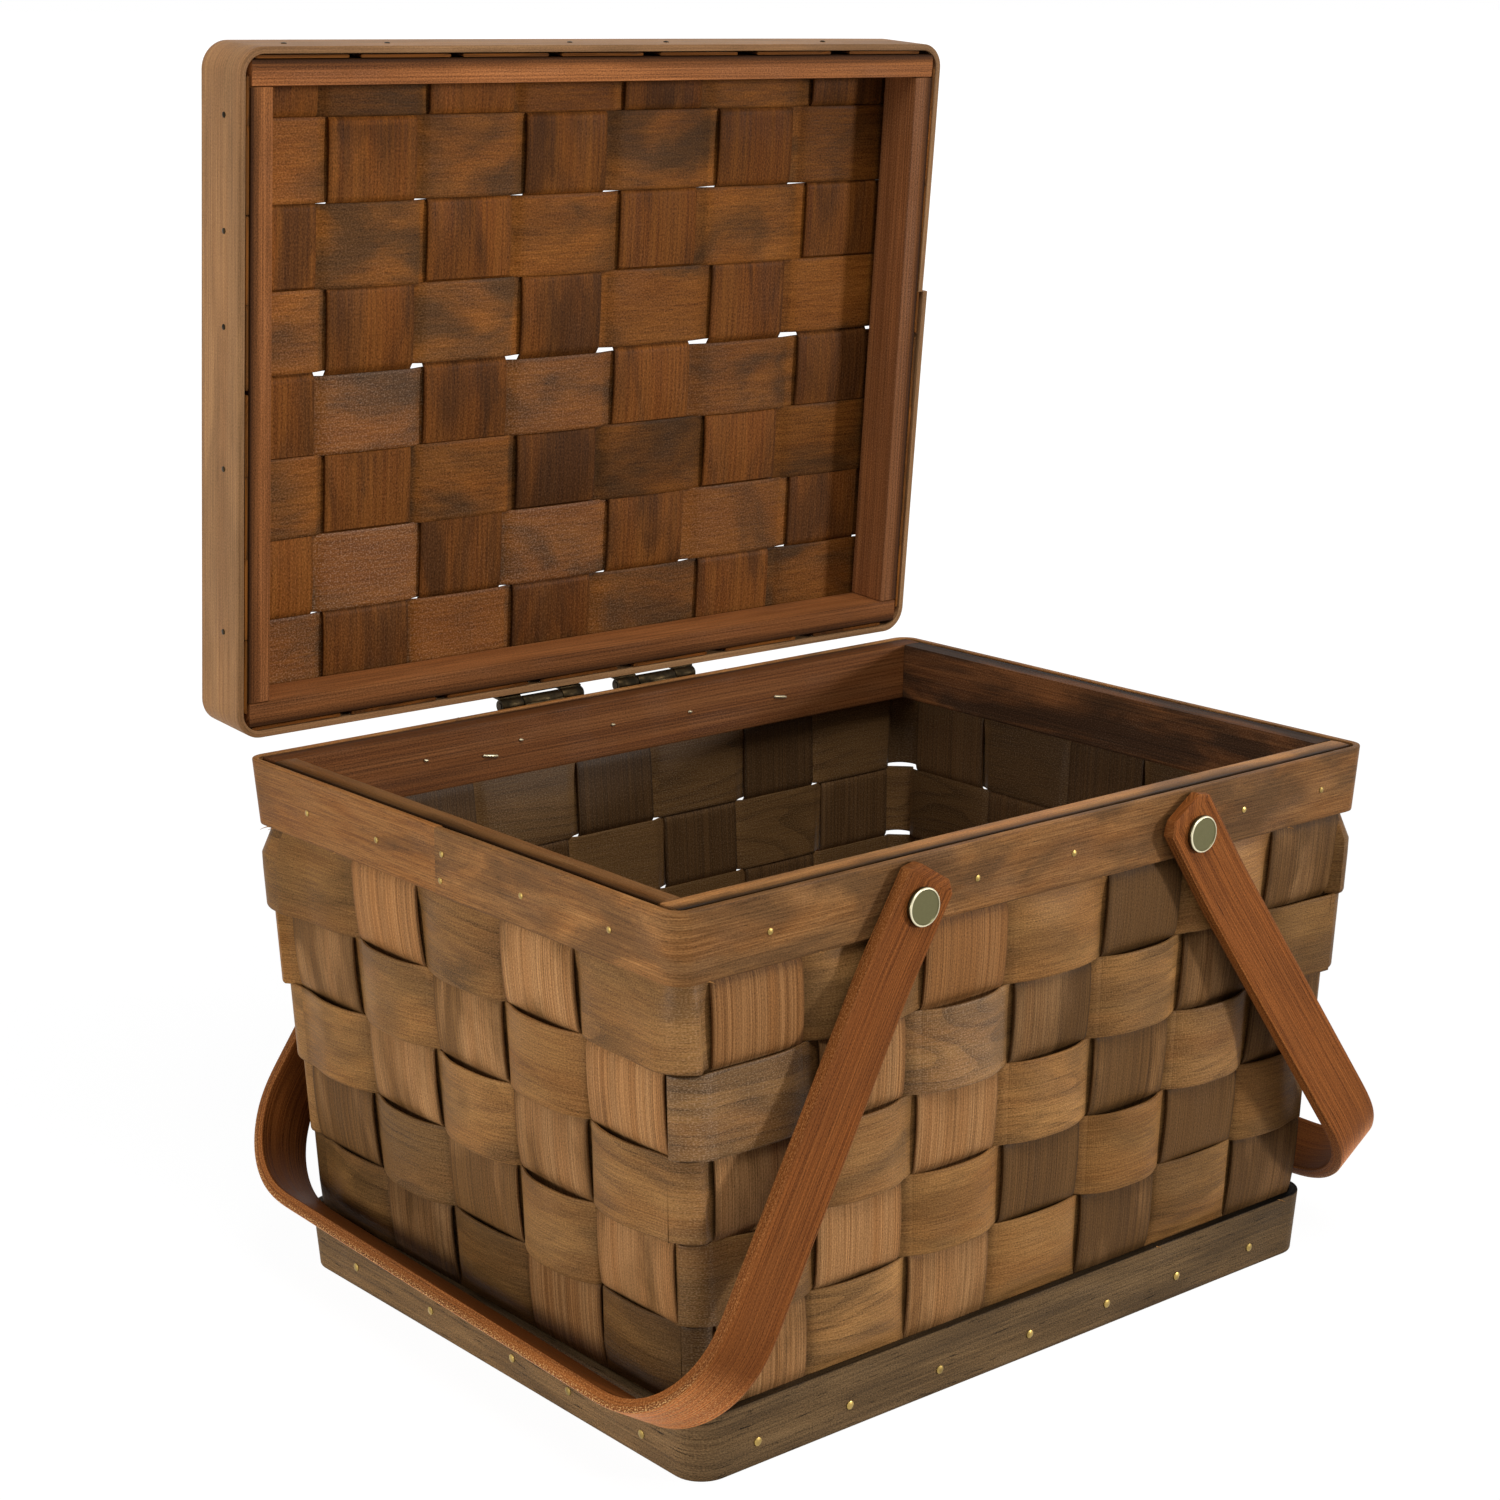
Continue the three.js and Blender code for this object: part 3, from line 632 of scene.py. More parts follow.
def swept(
    points: Array,
    across: Array,
    tone: Array,
    wear: Array,
    draw: np.random.Generator,
    ring: bool = False,
    stain: Any = 0.0,
    sheen: Any = 0.0,
) -> Surface:
    """Makes a skin from placed section points, with grain along the path and round the section.

    Args:
        points: Section points at each station.
        across: Place of each point across the strip.
        tone: Lightness of each station or each point.
        wear: Darkening of each point: worn edges, grime, and painted shade where the rings lie deep.
        draw: Source of the grain's random start.
        ring: Whether the last station joins the first.
        stain: How much greyer than usual each station or each point is; on inner faces it also carries
            painted shade.
        sheen: How glossy each station or each point is.

    Returns:
        The skin.
    """
    rows, columns = across.shape
    middle = points.mean(axis=1)
    lengths = run_lengths(np.concatenate([middle, middle[:1]]) if ring else middle)
    along = np.broadcast_to(lengths[:, None], (lengths.size, columns + 1))
    closed = np.concatenate([points, points[:, :1]], axis=1)
    steps = np.linalg.norm(np.diff(closed, axis=1), axis=2)
    sides = np.concatenate([0 * steps[:, :1], np.cumsum(steps, axis=1)], axis=1)
    sides = np.concatenate([sides, sides[:1]]) if ring else sides
    start = draw.uniform(0.0, 9000.0, 2)
    grain = np.stack([along + start[0], sides + start[1]], axis=-1)
    tones, stains, sheens = (
        np.broadcast_to(look if np.ndim(look) == 2 else np.reshape(look, (-1, 1)), (rows, columns)).copy()
        for look in (tone, stain, sheen)
    )
    return Surface(points, grain, tones, np.clip(wear, 0.0, 1.0), stains, sheens, ring)


def revolved(radii: Sequence[float], heights: Sequence[float], sides: int) -> Surface:
    """Turns a profile about the Z axis: x is radius times cosine, y radius times sine, z the height.

    Args:
        radii: Radius of each point of the profile.
        heights: Height of each point.
        sides: Number of sides round the axis.

    Returns:
        The skin, capped at its ends.
    """
    radius = np.asarray(radii, float)[:, None]
    height = np.asarray(heights, float)[:, None]
    angle = np.linspace(0.0, 2.0 * math.pi, sides, endpoint=False)[None, :]
    points = np.stack([radius * np.cos(angle), radius * np.sin(angle), height + 0 * angle], axis=-1)
    turn = np.linspace(0.0, 1.0, sides + 1)[None, :] * 2.0 * math.pi * radius
    grain = np.stack([height + 0 * turn, turn], axis=-1)
    blank = np.zeros(points.shape[:2])
    return Surface(points, grain, blank, blank, blank, blank)


def facing(direction: Sequence[float]) -> Array:
    """Finds a turn that takes the Z axis to a direction.

    Args:
        direction: Direction that the Z axis shall have.

    Returns:
        Three by three turn.
    """
    normal = np.asarray(direction, float)
    normal = normal / np.linalg.norm(normal)
    helper = np.array([0.0, 0.0, 1.0]) if abs(normal[2]) < 0.9 else np.array([1.0, 0.0, 0.0])
    first = np.cross(helper, normal)
    first /= np.linalg.norm(first)
    return np.stack([first, np.cross(normal, first), normal], axis=1)


def rotation(axis: int, angle: float) -> Array:
    """Makes a turn about the X, Y or Z axis.

    Args:
        axis: 0 for X, 1 for Y and 2 for Z.
        angle: Angle of the turn, anticlockwise as seen against the axis.

    Returns:
        Three by three turn.
    """
    first, second = (axis + 1) % 3, (axis + 2) % 3
    turn = np.eye(3)
    turn[first, first] = turn[second, second] = math.cos(angle)
    turn[second, first], turn[first, second] = math.sin(angle), -math.sin(angle)
    return turn


@dataclass(frozen=True)
class Stations:
    """Places on a wall: side, share of the side's straight half, shift along it and turn in its corner."""

    side: Array
    share: Array
    along: Array
    turn: Array


@dataclass(frozen=True)
class Wall:
    """Middle surface of plaited walls: a rectangle that widens evenly from floor to rim."""

    floor_half: Array
    rim_half: Array
    height: float

    def half(self, axis: Any, z: Any) -> Array:
        """Half width on an axis at a height, in a straight line from floor to rim."""
        return self.floor_half[axis] + (self.rim_half[axis] - self.floor_half[axis]) * z / self.height

    def points(self, stations: Stations, z: Array, out: Array, corner: float) -> Array:
        """Places points at stations on the wall.

        On a side the distance from the middle is the half width plus the offset. In a corner of radius r
        it is the half width less r plus (r + offset) times cosine of the turn, and the place along the side
        is share times (other half width less r), plus the shift, plus (r + offset) times sine of the turn.

        Args:
            stations: Places on the wall, one a row.
            z: Height of each point.
            out: Offset of each point from the middle surface.
            corner: Radius of the middle surface at the corners.

        Returns:
            Points, station by column.
        """
        side = stations.side
        axis = SIDE_AXIS[side][:, None]
        reach = corner + out
        turn = stations.turn[:, None]
        distance = self.half(axis, z) - corner + reach * np.cos(turn)
        straight = self.half(1 - axis, z) - corner
        shift = np.reshape(stations.along, (side.size, -1))
        along = stations.share[:, None] * straight + shift + reach * np.sin(turn)
        out_way, along_way = SIDE_OUT[side][:, None, :], SIDE_ALONG[side][:, None, :]
        flat = out_way * distance[..., None] + along_way * along[..., None]
        return np.concatenate([flat, np.broadcast_to(z, distance.shape)[..., None]], axis=-1)

    def loop_stations(self, side: Side, share: float, steps: int, corner_steps: int) -> Stations:
        """Lists stations once round the wall, from a place on one side back to the same place.

        Args:
            side: Side on which the loop starts and ends.
            share: Share of that side's straight half at which it starts.
            steps: Stations on a whole straight side.
            corner_steps: Stations in each corner.

        Returns:
            Stations in order; their shift along the wall is one column.
        """
        full = np.linspace(-1.0, 1.0, steps)
        turns = np.linspace(0.0, math.pi / 2, corner_steps + 1)[1:-1]
        # The first and last stations stand this close to their neighbours, so that the ends stay square.
        tip = 0.002
        begin = np.array([share, share + tip, *full[full > share + 2 * tip]])
        end = np.array([*full[full < share - 2 * tip], share - tip, share])
        legs = list(zip((begin, full, full, full, end), (turns, turns, turns, turns, turns[:0])))
        sides = [np.full(a.size + b.size, (side.value + i) % 4) for i, (a, b) in enumerate(legs)]
        shares = np.concatenate([np.concatenate([a, 0 * b + 1.0]) for a, b in legs])
        turn = np.concatenate([np.concatenate([0 * a, b]) for a, b in legs])
        return Stations(np.concatenate(sides), shares, 0 * shares[:, None], turn)


@dataclass(frozen=True)
class Track(Stations):
    """Stations of a woven ring in order, with its offset, lean, rise, tone, stain and sheen at each."""

    offset: Array
    lean: Array
    rise: Array
    tone: Array
    stain: Array
    sheen: Array

    @staticmethod
    def level(stations: Stations, offset: Array, lean: float, look: Array) -> "Track":
        """Makes a track on which only the offset varies.

        Args:
            stations: Stations of the track.
            offset: Offset at each.
            lean: Lean of the whole track.
            look: Rise, tone, stain and sheen of the whole track.

        Returns:
            The track.
        """
        blank = 0 * offset
        places = (getattr(stations, item.name) for item in fields(Stations))
        return Track(*places, offset, blank + lean, *(blank + value for value in look))

    @staticmethod
    def joined(tracks: Sequence["Track"]) -> "Track":
        """Puts tracks one after another."""
        names = [item.name for item in fields(Track)]
        return Track(*(np.concatenate([getattr(track, name) for track in tracks]) for name in names))

    def eased(self) -> "Track":
        """Adds stations wherever the ring steps from one level to another, eased between both.

        Returns:
            The track with the added stations in place.
        """
        after = np.roll(np.arange(self.offset.size), -1)
        flat = (self.turn == 0) & (self.turn[after] == 0)
        same = self.side == self.side[after]
        here = np.nonzero((np.abs(self.offset[after] - self.offset) > 0.05) & same & flat)[0]
        shares = np.linspace(0.0, 1.0, 6)[1:-1]
        places = np.repeat(here + 1, shares.size)

        def blend(name: str) -> Array:
            """Puts blended values behind each station that is followed by a step."""
            values = getattr(self, name)
            steps = smooth(shares) if name == "offset" else shares
            extra = values[here][:, None] + (values[after[here]] - values[here])[:, None] * steps
            return np.insert(values, places, extra.ravel())

        return Track(*(blend(item.name) for item in fields(Track)))


@dataclass(frozen=True)
class Lap:
    """Meeting of a band's ends: side, place on its axis, step, slant, stain of both ends and their reach."""

    side: Side
    place: float
    step: float
    slant: float = 0.0
    stain: Pair = (0.0, 0.0)
    reach: float = 22.0


@dataclass(frozen=True)
class Splint:
    """One strip of the plait: number, width, place as a share of the wall, drift, and looks of both ends."""

    number: int
    width: float
    share: float
    top_drift: float = 0.0
    foot_drift: float = 0.0
    tone: float = 0.0
    stain: float = 0.0
    far_tone: float = 0.0
    far_stain: float = 0.0


@dataclass
class Plait:
    """A woven shell of splints that run up two walls and across a floor or panel."""

    wall: Wall
    corner: float
    level: float
    bend: float
    top: float
    lift: float
    thickness: float
    draw: np.random.Generator
    # Inner faces get more stain colour, a painted shade of the basket's inside, and more sheen, a gloss with
    # painted glints.
    inner_stain: float = 0.0
    inner_sheen: float = 0.0
    edge_wear: float = 2.0
    edge_radius: float = 0.42

    def centre(self, splint: Splint, axis: int, z: Array, near: bool = True) -> Array:
        """Place of a splint's middle line: its share of the straight half width, plus its drift.

        Args:
            splint: Splint whose middle is wanted.
            axis: Axis across the splint.
            z: Heights.
            near: Whether the drift at the rim counts, as it does on the front and left walls.

        Returns:
            Place of the middle line at each height.
        """
        straight = self.wall.half(axis, z) - self.corner
        rise = np.asarray(z) / self.wall.height
        drift = splint.foot_drift + (splint.top_drift * near - splint.foot_drift) * rise
        return splint.share * straight + drift

    def splint(
        self,
        splint: Splint,
        run_axis: int,
        wall_profile: Profile,
        floor_profile: Profile,
        wall_steps: int,
        floor_steps: int,
        bow: float,
    ) -> Surface:
        """Sweeps a splint down one wall, round the bend, across the floor and up the far wall.

        Offsets along the path come from the profiles. A point lies at the middle surface plus its offset
        along the outward normal; the normal turns from level to straight down in the bend. Tone and stain
        pass over from those of the near wall to those of the far wall.

        Args:
            splint: Strip to be made.
            run_axis: Axis along which it crosses the floor.
            wall_profile: Function from heights on a wall to offsets and looks (tone, stain and sheen).
            floor_profile: The same from places along the floor.
            wall_steps: Stations on a wall.
            floor_steps: Stations on the floor.
            bow: How far the strip's middle stands proud of its edges.

        Returns:
            The skin.
        """
        across_axis = 1 - run_axis
        bend_top = self.level + self.bend
        bend_centre = self.wall.half(run_axis, bend_top) - self.bend
        z = np.linspace(self.top, bend_top, wall_steps)
        turn = np.linspace(0.0, math.pi / 2, 9)[1:-1]
        place = np.linspace(-bend_centre, bend_centre, floor_steps)
        wall_offset, wall_look = wall_profile(z)
        floor_offset, floor_look = floor_profile(place)

        def path(wall: Array, bend: Array, floor: Array) -> Array:
            """Joins values on the near wall, in its bend, on the floor and back up the far wall."""
            rising = np.concatenate([wall, bend])
            return np.concatenate([rising, floor, rising[::-1]])

        away = np.concatenate([self.wall.half(run_axis, z), bend_centre + self.bend * np.cos(turn)])
        run = np.concatenate([-away, place, away[::-1]])
        height = path(z, bend_top - self.bend * np.sin(turn), 0 * place + self.level)
        normal = path(0 * z, turn, 0 * place + math.pi / 2)
        offset = path(wall_offset, 0 * turn, floor_offset)
        look = path(wall_look, np.zeros((turn.size, 3)), floor_look)
        levels = np.concatenate([z, 0 * turn + bend_top])
        middle = np.concatenate([
            self.centre(splint, across_axis, levels),
            0 * place + self.centre(splint, across_axis, self.level),
            self.centre(splint, across_axis, levels, near=False)[::-1],
        ])
        sign = np.sign(run)
        section = Strip(self.edge_radius, self.edge_wear)
        across, out, edge = section.outline(splint.width + 0 * run, self.thickness + 0 * run)
        inner = out < 0
        share = across / (splint.width / 2)
        out = out + offset[:, None] + bow * (1.0 - share ** 2)
        along = run[:, None] + (sign * np.cos(normal))[:, None] * out
        upright = height[:, None] - np.sin(normal)[:, None] * out
        beside = middle[:, None] + across
        axes = (beside, along) if run_axis == 1 else (along, beside)
        points = np.stack([*axes, upright], axis=-1)
        tone, stain, sheen = look.T
        # Tone and stain blend to those of the far end, whose darker tone is painted shade of the inside.
        nearness = smooth(0.5 - run / np.ptp(run))
        tone = tone + splint.far_tone + (splint.tone - splint.far_tone) * nearness
        stain = stain + splint.far_stain + (splint.stain - splint.far_stain) * nearness
        # Painted shade and glints on the inner faces.
        stain = stain[:, None] + self.inner_stain * inner
        sheen = sheen[:, None] + self.inner_sheen * inner
        return swept(points, across, tone, 0.8 * edge, self.draw, stain=stain, sheen=sheen)


@dataclass
class BasketBody(Plait):
    """The plaited body: stakes, weaver rings, rim band and rails, base band and their nails."""

    rim_height: float = 182.0
    # Width and thickness of the bands and the rails.
    rim_band: Pair = (22.6, 2.3)
    rim_rail: Pair = (21.0, 8.3)
    base_band: Pair = (22.0, 3.0)
    rim_corner: float = 6.5
    base_corner: float = 10.0
    seat: float = 0.8
    # The rail's hidden outer face is painted dark as the shade of the groove beside the band, without sheen.
    groove_tone: float = -0.8
    groove_sheen: float = -0.3
    groove_depth: float = 0.35
    rail_round: float = 0.7
    band_round: float = 0.45
    band_gap: float = 0.12
    band_wave: float = 0.25
    band_wave_length: float = 29.0
    # What follows of the rings is listed from the rim down; extra lifts are those of each corner's top rows.
    row_count: int = 5
    row_height: float = 27.2
    corner_narrowing: float = 1.2
    tuck_depth: float = 2.2
    row_bulge: float = 3.8
    bulge_shares: Floats = (0.62, 1.0, 1.0, 1.0, 0.5)
    corner_lifts: Floats = (2.2, 1.9, 0.7, -0.4, -0.8)
    extra_lifts: tuple[Floats, ...] = ((0.0, 0.0), (1.8, 1.4), (1.2, 0.8), (2.0, 0.6))
    # What follows of the stakes is listed by their numbers, the drifts at the rim and at the foot.
    stake_gap: float = 1.8
    cross_top_drift: Floats = (1.0, 3.0, 6.0, 5.8, 5.6, 5.4, 5.0)
    cross_foot_drift: Floats = (-0.8, 0.0, 0.6, 2.8, 3.8, 4.2, 4.0)
    long_top_drift: Floats = (-2.0, -2.6, -3.4, -1.6, -1.0)
    long_foot_drift: Floats = (-3.0, -4.6, -5.0, -5.4, -3.4)
    cross_tone: Floats = (-0.04, -0.02, -0.04, -0.28, -0.36, -0.24, -0.28)
    cross_stain: Floats = (-0.3, 0.0, -0.4, 2.0, 2.3, 1.8, 2.2)
    long_tone: Floats = (-0.1, 0.0, 0.06, 0.02, 0.1)
    long_stain: Floats = (2.0, -0.3, 1.0, -0.5, -0.2)
    # Looks are tone, stain and sheen; far walls have no sheen, and a spread of four starts with the rise.
    # The lowest rows are darker, a painted shadow of the handles, in full on every wall but the front and
    # faintly there.
    row_tones: Floats = (0.0, 0.0, 0.0, -0.1, -0.4)
    row_tone_shares: Floats = (1.0, 0.1, 1.0, 1.0)
    # The far walls' stakes are darker and greyer: painted shade of the basket's inside.
    far_look: Pair = (-0.2, 0.4)
    orange_stakes: tuple[int, ...] = (1, 3)
    orange_look: Triple = (-0.16, -3.0, 0.0)
    cell_spread: Triple = (0.06, 0.5, 0.0)
    dive_grime: float = 0.22
    stake_bow: float = 0.7
    step_margin: float = 1.9
    end_reach: float = 4.0
    floor_margin: float = 0.6
    # How much a ring leans over a stake, under one and in a corner.
    leans: Triple = (1.0, 0.25, 0.7)
    lean_slope: float = 0.55
    lean_middle: float = 0.25
    tuck_start: float = 0.3
    # Grime of a ring at its edges, and painted shade with grime where it lies deep: below that level, over
    # that span.
    edge_grime: float = 0.4
    deep_grime: float = 0.6
    deep_level: float = 1.5
    deep_span: float = 2.4
    # Shares of a corner at which a ring starts to dive and over which it does, and its depth in lifts.
    dive_start: float = 0.8
    dive_span: float = 0.2
    dive_depth: float = 0.3
    bulge_range: Pair = (0.82, 1.12)
    corner_bulge: float = 0.75
    bulge_power: float = 2.7
    look_spread: tuple[float, float, float, float] = (0.2, 0.08, 0.5, 0.1)
    # Lightness of each side's crossings: painted light and shade of each side, darkest on the shaded inside
    # of the right wall.
    side_tone: Floats = (-0.16, -0.08, -0.36, 0.1)
    # Looks of single crossings by row, side and place in walking order. The darker ones low on the left wall
    # and near the front-left corner carry a painted shadow of the left handle, and their sheens add gloss
    # with painted glints.
    known_looks: dict[tuple[int, Side, int], Triple] = field(default_factory=lambda: {
        (1, Side.LEFT, 4): (-0.13, 0.4, 0.15), (3, Side.LEFT, 4): (-0.13, -0.3, 0.15),
        (5, Side.LEFT, 4): (-0.52, 0.8, 0.1), (5, Side.LEFT, 2): (-0.46, 0.6, 0.0),
        (5, Side.LEFT, 0): (-0.45, 0.6, 0.0), (5, Side.FRONT, 5): (-0.24, 0.2, 0.0),
        (2, Side.FRONT, 6): (-0.36, 0.4, 0.0), (4, Side.FRONT, 6): (-0.28, 0.3, 0.0),
        (2, Side.FRONT, 0): (-0.2, 0.7, 0.5), (2, Side.FRONT, 2): (-0.04, 0.9, 0.7),
        (4, Side.FRONT, 0): (-0.24, 0.5, 0.15), (1, Side.FRONT, 3): (-0.08, -0.6, 0.05),
        (3, Side.FRONT, 3): (0.04, 0.0, 0.1), (5, Side.FRONT, 1): (0.22, 0.2, 0.15),
        (4, Side.FRONT, 4): (-0.2, -0.4, 0.0), (1, Side.LEFT, 0): (-0.32, 0.2, 0.0),
    })
    # Sheen at the front-left corner is gloss with a painted highlight; the other corners are darker, painted
    # shade.
    corner_sheens: Floats = (0.4, 0.0, 0.0, 0.0)
    corner_tones: Floats = (0.0, -0.2, -0.1, -0.1)
    stakes: dict[Kind, list[Splint]] = field(default_factory=dict)

    def __post_init__(self) -> None:
        """Works out the rows and the two sets of stakes; the end rows tuck under the rim and the foot."""
        self.tucked = {1: 1.0, self.row_count: -1.0}
        top = self.rim_height - self.rim_band[0] - 1.0
        foot = self.base_band[0] + 1.0
        self.row_pitch = (top - foot) / self.row_count
        self.row_middle = top - (np.arange(self.row_count) + 0.5) * self.row_pitch
        self.looks = self.draw.normal(0.0, 1.0, (self.row_count, 4, 7, 4)) * self.look_spread
        self.looks[..., 1] += np.array(self.side_tone)[:, None]
        shares = np.array(self.row_tone_shares)[:, None]
        # Painted shadow of the handles on the lowest rows.
        self.looks[..., 1] += np.array(self.row_tones)[:, None, None] * shares
        self.looks[..., 3] = np.abs(self.looks[..., 3])
        for (row, side, index), look in self.known_looks.items():
            self.looks[row - 1, side.value, index, 1:] = look
        cross = (self.cross_top_drift, self.cross_foot_drift, self.cross_tone, self.cross_stain)
        long = (self.long_top_drift, self.long_foot_drift, self.long_tone, self.long_stain)
        self.stakes[Kind.CROSS] = self.shared_out(0, 1, *cross)
        self.stakes[Kind.LONG] = self.shared_out(1, -1, *long)

    def shared_out(self, axis: int, sign: int, *traits: Sequence[float]) -> list[Splint]:
        """Shares out a wall among its stakes.

        Args:
            axis: Axis across the stakes.
            sign: Direction in which they are numbered.
            *traits: Drift at the rim, drift at the foot, lightness and stain of each stake.

        Returns:
            The stakes in order of their numbers.
        """
        count = len(traits[0])
        width = 2.0 * (self.wall.floor_half[axis] - self.corner) / count - self.stake_gap
        shares = sign * (np.arange(count) - (count - 1) / 2) * 2.0 / count
        return [
            Splint(i + 1, width, float(shares[i]), *each, *self.far_look)
            for i, each in enumerate(zip(*traits))
        ]

    @staticmethod
    def over(kind: Kind, row: int, number: int) -> bool:
        """Says if a weaver row passes outside a stake: odd sums on cross stakes, even sums on long ones."""
        return (row + number) % 2 == (1 if kind is Kind.CROSS else 0)

    def stake_wall(self, kind: Kind, number: int) -> Profile:
        """Makes the function that gives a stake's offset and look at each height.

        Args:
            kind: Cross or long.
            number: Number of the stake.

        Returns:
            Function from heights to offsets and looks.
        """
        rows = np.arange(self.row_count) + 1
        outside = np.array([not self.over(kind, int(row), number) for row in rows])
        levels = np.where(outside, self.lift, -self.lift)
        half = self.row_pitch / 2 - self.step_margin
        places = np.stack([self.row_middle - half, self.row_middle + half], axis=1)[::-1].ravel()
        held = np.repeat(levels[::-1], 2)
        places = np.concatenate([[places[0] - self.end_reach], places, [places[-1] + self.end_reach]])
        held = np.concatenate([[0.0], held, [0.0]])
        cell_look = self.draw.normal(0.0, 1.0, (self.row_count, 3)) * np.array(self.cell_spread)
        shown_on = Side.FRONT if kind is Kind.CROSS else Side.LEFT
        # Painted shadow of the handles on the lowest rows of the wall where the stake shows.
        cell_look[:, 0] += np.array(self.row_tones) * self.row_tone_shares[shown_on.value]
        if kind is Kind.CROSS and number in self.orange_stakes:
            cell_look[0] = self.orange_look

        def profile(z: Array) -> tuple[Array, Array]:
            """Steps in and out between rows, bowed where the stake shows and darker where it dives, painted
            shade.
            """
            near = np.clip(1.0 - ((z[:, None] - self.row_middle) / (self.row_pitch / 2)) ** 2, 0.0, 1.0)
            shown = (near * outside).sum(axis=1)
            look = cell_look[np.argmin(np.abs(z[:, None] - self.row_middle), axis=1)]
            # Painted shade where the stake dives under a ring.
            look[:, 0] -= self.dive_grime * (1.0 - shown) ** 3
            return stepped(z, places, held) + self.stake_bow * shown, look

        return profile

    def stake_floor(self, kind: Kind, number: int) -> Profile:
        """Makes the function that gives a stake's offset and look along the floor.

        Args:
            kind: Cross or long.
            number: Number of the stake.

        Returns:
            Function from places to offsets, outward being down, and looks.
        """
        met = sorted(self.stakes[kind.other], key=lambda splint: splint.share)
        centres = np.array([float(self.centre(splint, kind.run_axis, self.level)) for splint in met])
        upper = np.array([(splint.number + number) % 2 == 0 for splint in met])
        levels = np.where(upper if kind is Kind.CROSS else ~upper, -self.lift, self.lift)
        half = met[0].width / 2 - self.floor_margin
        places = np.stack([centres - half, centres + half], axis=1).ravel()
        held = np.repeat(levels, 2)
        return lambda place: (stepped(place, places, held), np.zeros((place.size, 3)))

    def weaver(self, row: int) -> Surface:
        """Sweeps one plaited ring in and out between the stakes.

        Its offset follows the crossings of each side and the corners between them, and is eased wherever it
        steps. The ring leans so that its lower edge stands proud, and is narrower in the corners.

        Args:
            row: Number of the row, counted from the rim.

        Returns:
            The skin.
        """
        z_middle = float(self.row_middle[row - 1])
        tracks = [track for side in Side for track in self.side_tracks(side, row, z_middle)]
        track = Track.joined(tracks).eased()
        height = self.row_height - self.corner_narrowing * np.sin(2.0 * track.turn)
        across, out, edge = Strip(self.edge_radius, 1.0).outline(height, self.thickness + 0 * height)
        # Painted shade and glints on the inner faces.
        stain = track.stain[:, None] + self.inner_stain * (out < 0)
        sheen = track.sheen[:, None] + self.inner_sheen * (out < 0)
        share = across / (self.row_height / 2)
        standing = track.offset[:, None] - track.lean[:, None] * (self.lean_slope * share - self.lean_middle)
        tucked = self.tucked.get(row, 0.0)
        hidden = smooth((share * tucked - self.tuck_start) / (1.0 - self.tuck_start))
        out = out + standing * (1.0 - hidden)
        across = across + self.tuck_depth * hidden * tucked
        points = self.wall.points(track, z_middle + track.rise[:, None] + across, out, self.corner)
        # Painted shade, with grime, where the ring lies deep and dives under the stakes.
        deep = smooth((self.deep_level - track.offset) / self.deep_span)[:, None]
        wear = self.edge_grime * edge + self.deep_grime * deep
        return swept(points, across, track.tone, wear, self.draw, True, stain, sheen)

    def side_tracks(self, side: Side, row: int, z: float) -> list[Track]:
        """Lists a ring's crossings of one side in order, then the corner that follows.

        Args:
            side: Side of the wall.
            row: Number of the row.
            z: Height of the row's middle.

        Returns:
            One track a crossing, and one for the corner.
        """
        kind = Kind.LONG if SIDE_AXIS[side.value] == 0 else Kind.CROSS
        axis = 1 - kind.run_axis
        walk = SIDE_ALONG[side.value][axis]
        ordered = sorted(self.stakes[kind], key=lambda splint: splint.share * walk)
        near = side in (Side.LEFT, Side.FRONT)
        straight = float(self.wall.half(axis, z)) - self.corner
        over_lean, under_lean, _ = self.leans
        tracks = []
        for index, splint in enumerate(ordered):
            corner_end = (index == len(ordered) - 1) - (index == 0)
            is_over = self.over(kind, row, splint.number)
            share = np.linspace(-1.0, 1.0, 61 if is_over else 5)
            middle = walk * (float(self.centre(splint, axis, z, near)) - splint.share * straight)
            stations = Stations(
                np.full(share.size, side.value), 0 * share + splint.share * walk,
                middle + share * (splint.width / 2 - 0.2), 0 * share,
            )
            offset = 0 * share - self.lift
            if is_over:
                corner = self.corner_lift(side if corner_end > 0 else Side((side.value - 1) % 4), row)
                offset = self.crossing_offset(row, share, corner_end, corner)
            look = self.looks[row - 1, side.value, index]
            tracks.append(Track.level(stations, offset, over_lean if is_over else under_lean, look))
        from_over = self.over(kind, row, ordered[-1].number)
        look = self.looks[row - 1, side.value, len(ordered) - 1]
        if not from_over:
            look = self.looks[row - 1, (side.value + 1) % 4, 0]
        return [*tracks, self.corner_track(side, row, from_over, look)]

    def corner_lift(self, side: Side, row: int) -> float:
        """How far a row stands off the corner after a side; the top rows stand off some corners farther."""
        extra = self.extra_lifts[side.value]
        return self.corner_lifts[row - 1] + (extra[row - 1] if row <= len(extra) else 0.0)

    def crossing_offset(self, row: int, share: Array, corner_end: int, corner: float) -> Array:
        """Works out how far a ring stands off the wall as it passes over a stake.

        The offset is the lift plus a bulge times one less a power of the distance from the stake's middle.
        Towards a corner it eases to the corner's level instead.

        Args:
            row: Number of the row.
            share: Places from -1 to 1 across the stake.
            corner_end: 1 or -1 where a corner follows that end, else 0.
            corner: How far the row stands off that corner.

        Returns:
            Offset at each place.
        """
        bulge = self.row_bulge * self.bulge_shares[row - 1] * self.draw.uniform(*self.bulge_range)
        bulge = bulge * (self.corner_bulge if corner_end else 1.0)
        arched = bulge * (1.0 - np.abs(share) ** self.bulge_power)
        held = bulge + (corner - bulge) * smooth(share * corner_end)
        return self.lift + np.where(share * corner_end > 0, held, arched)

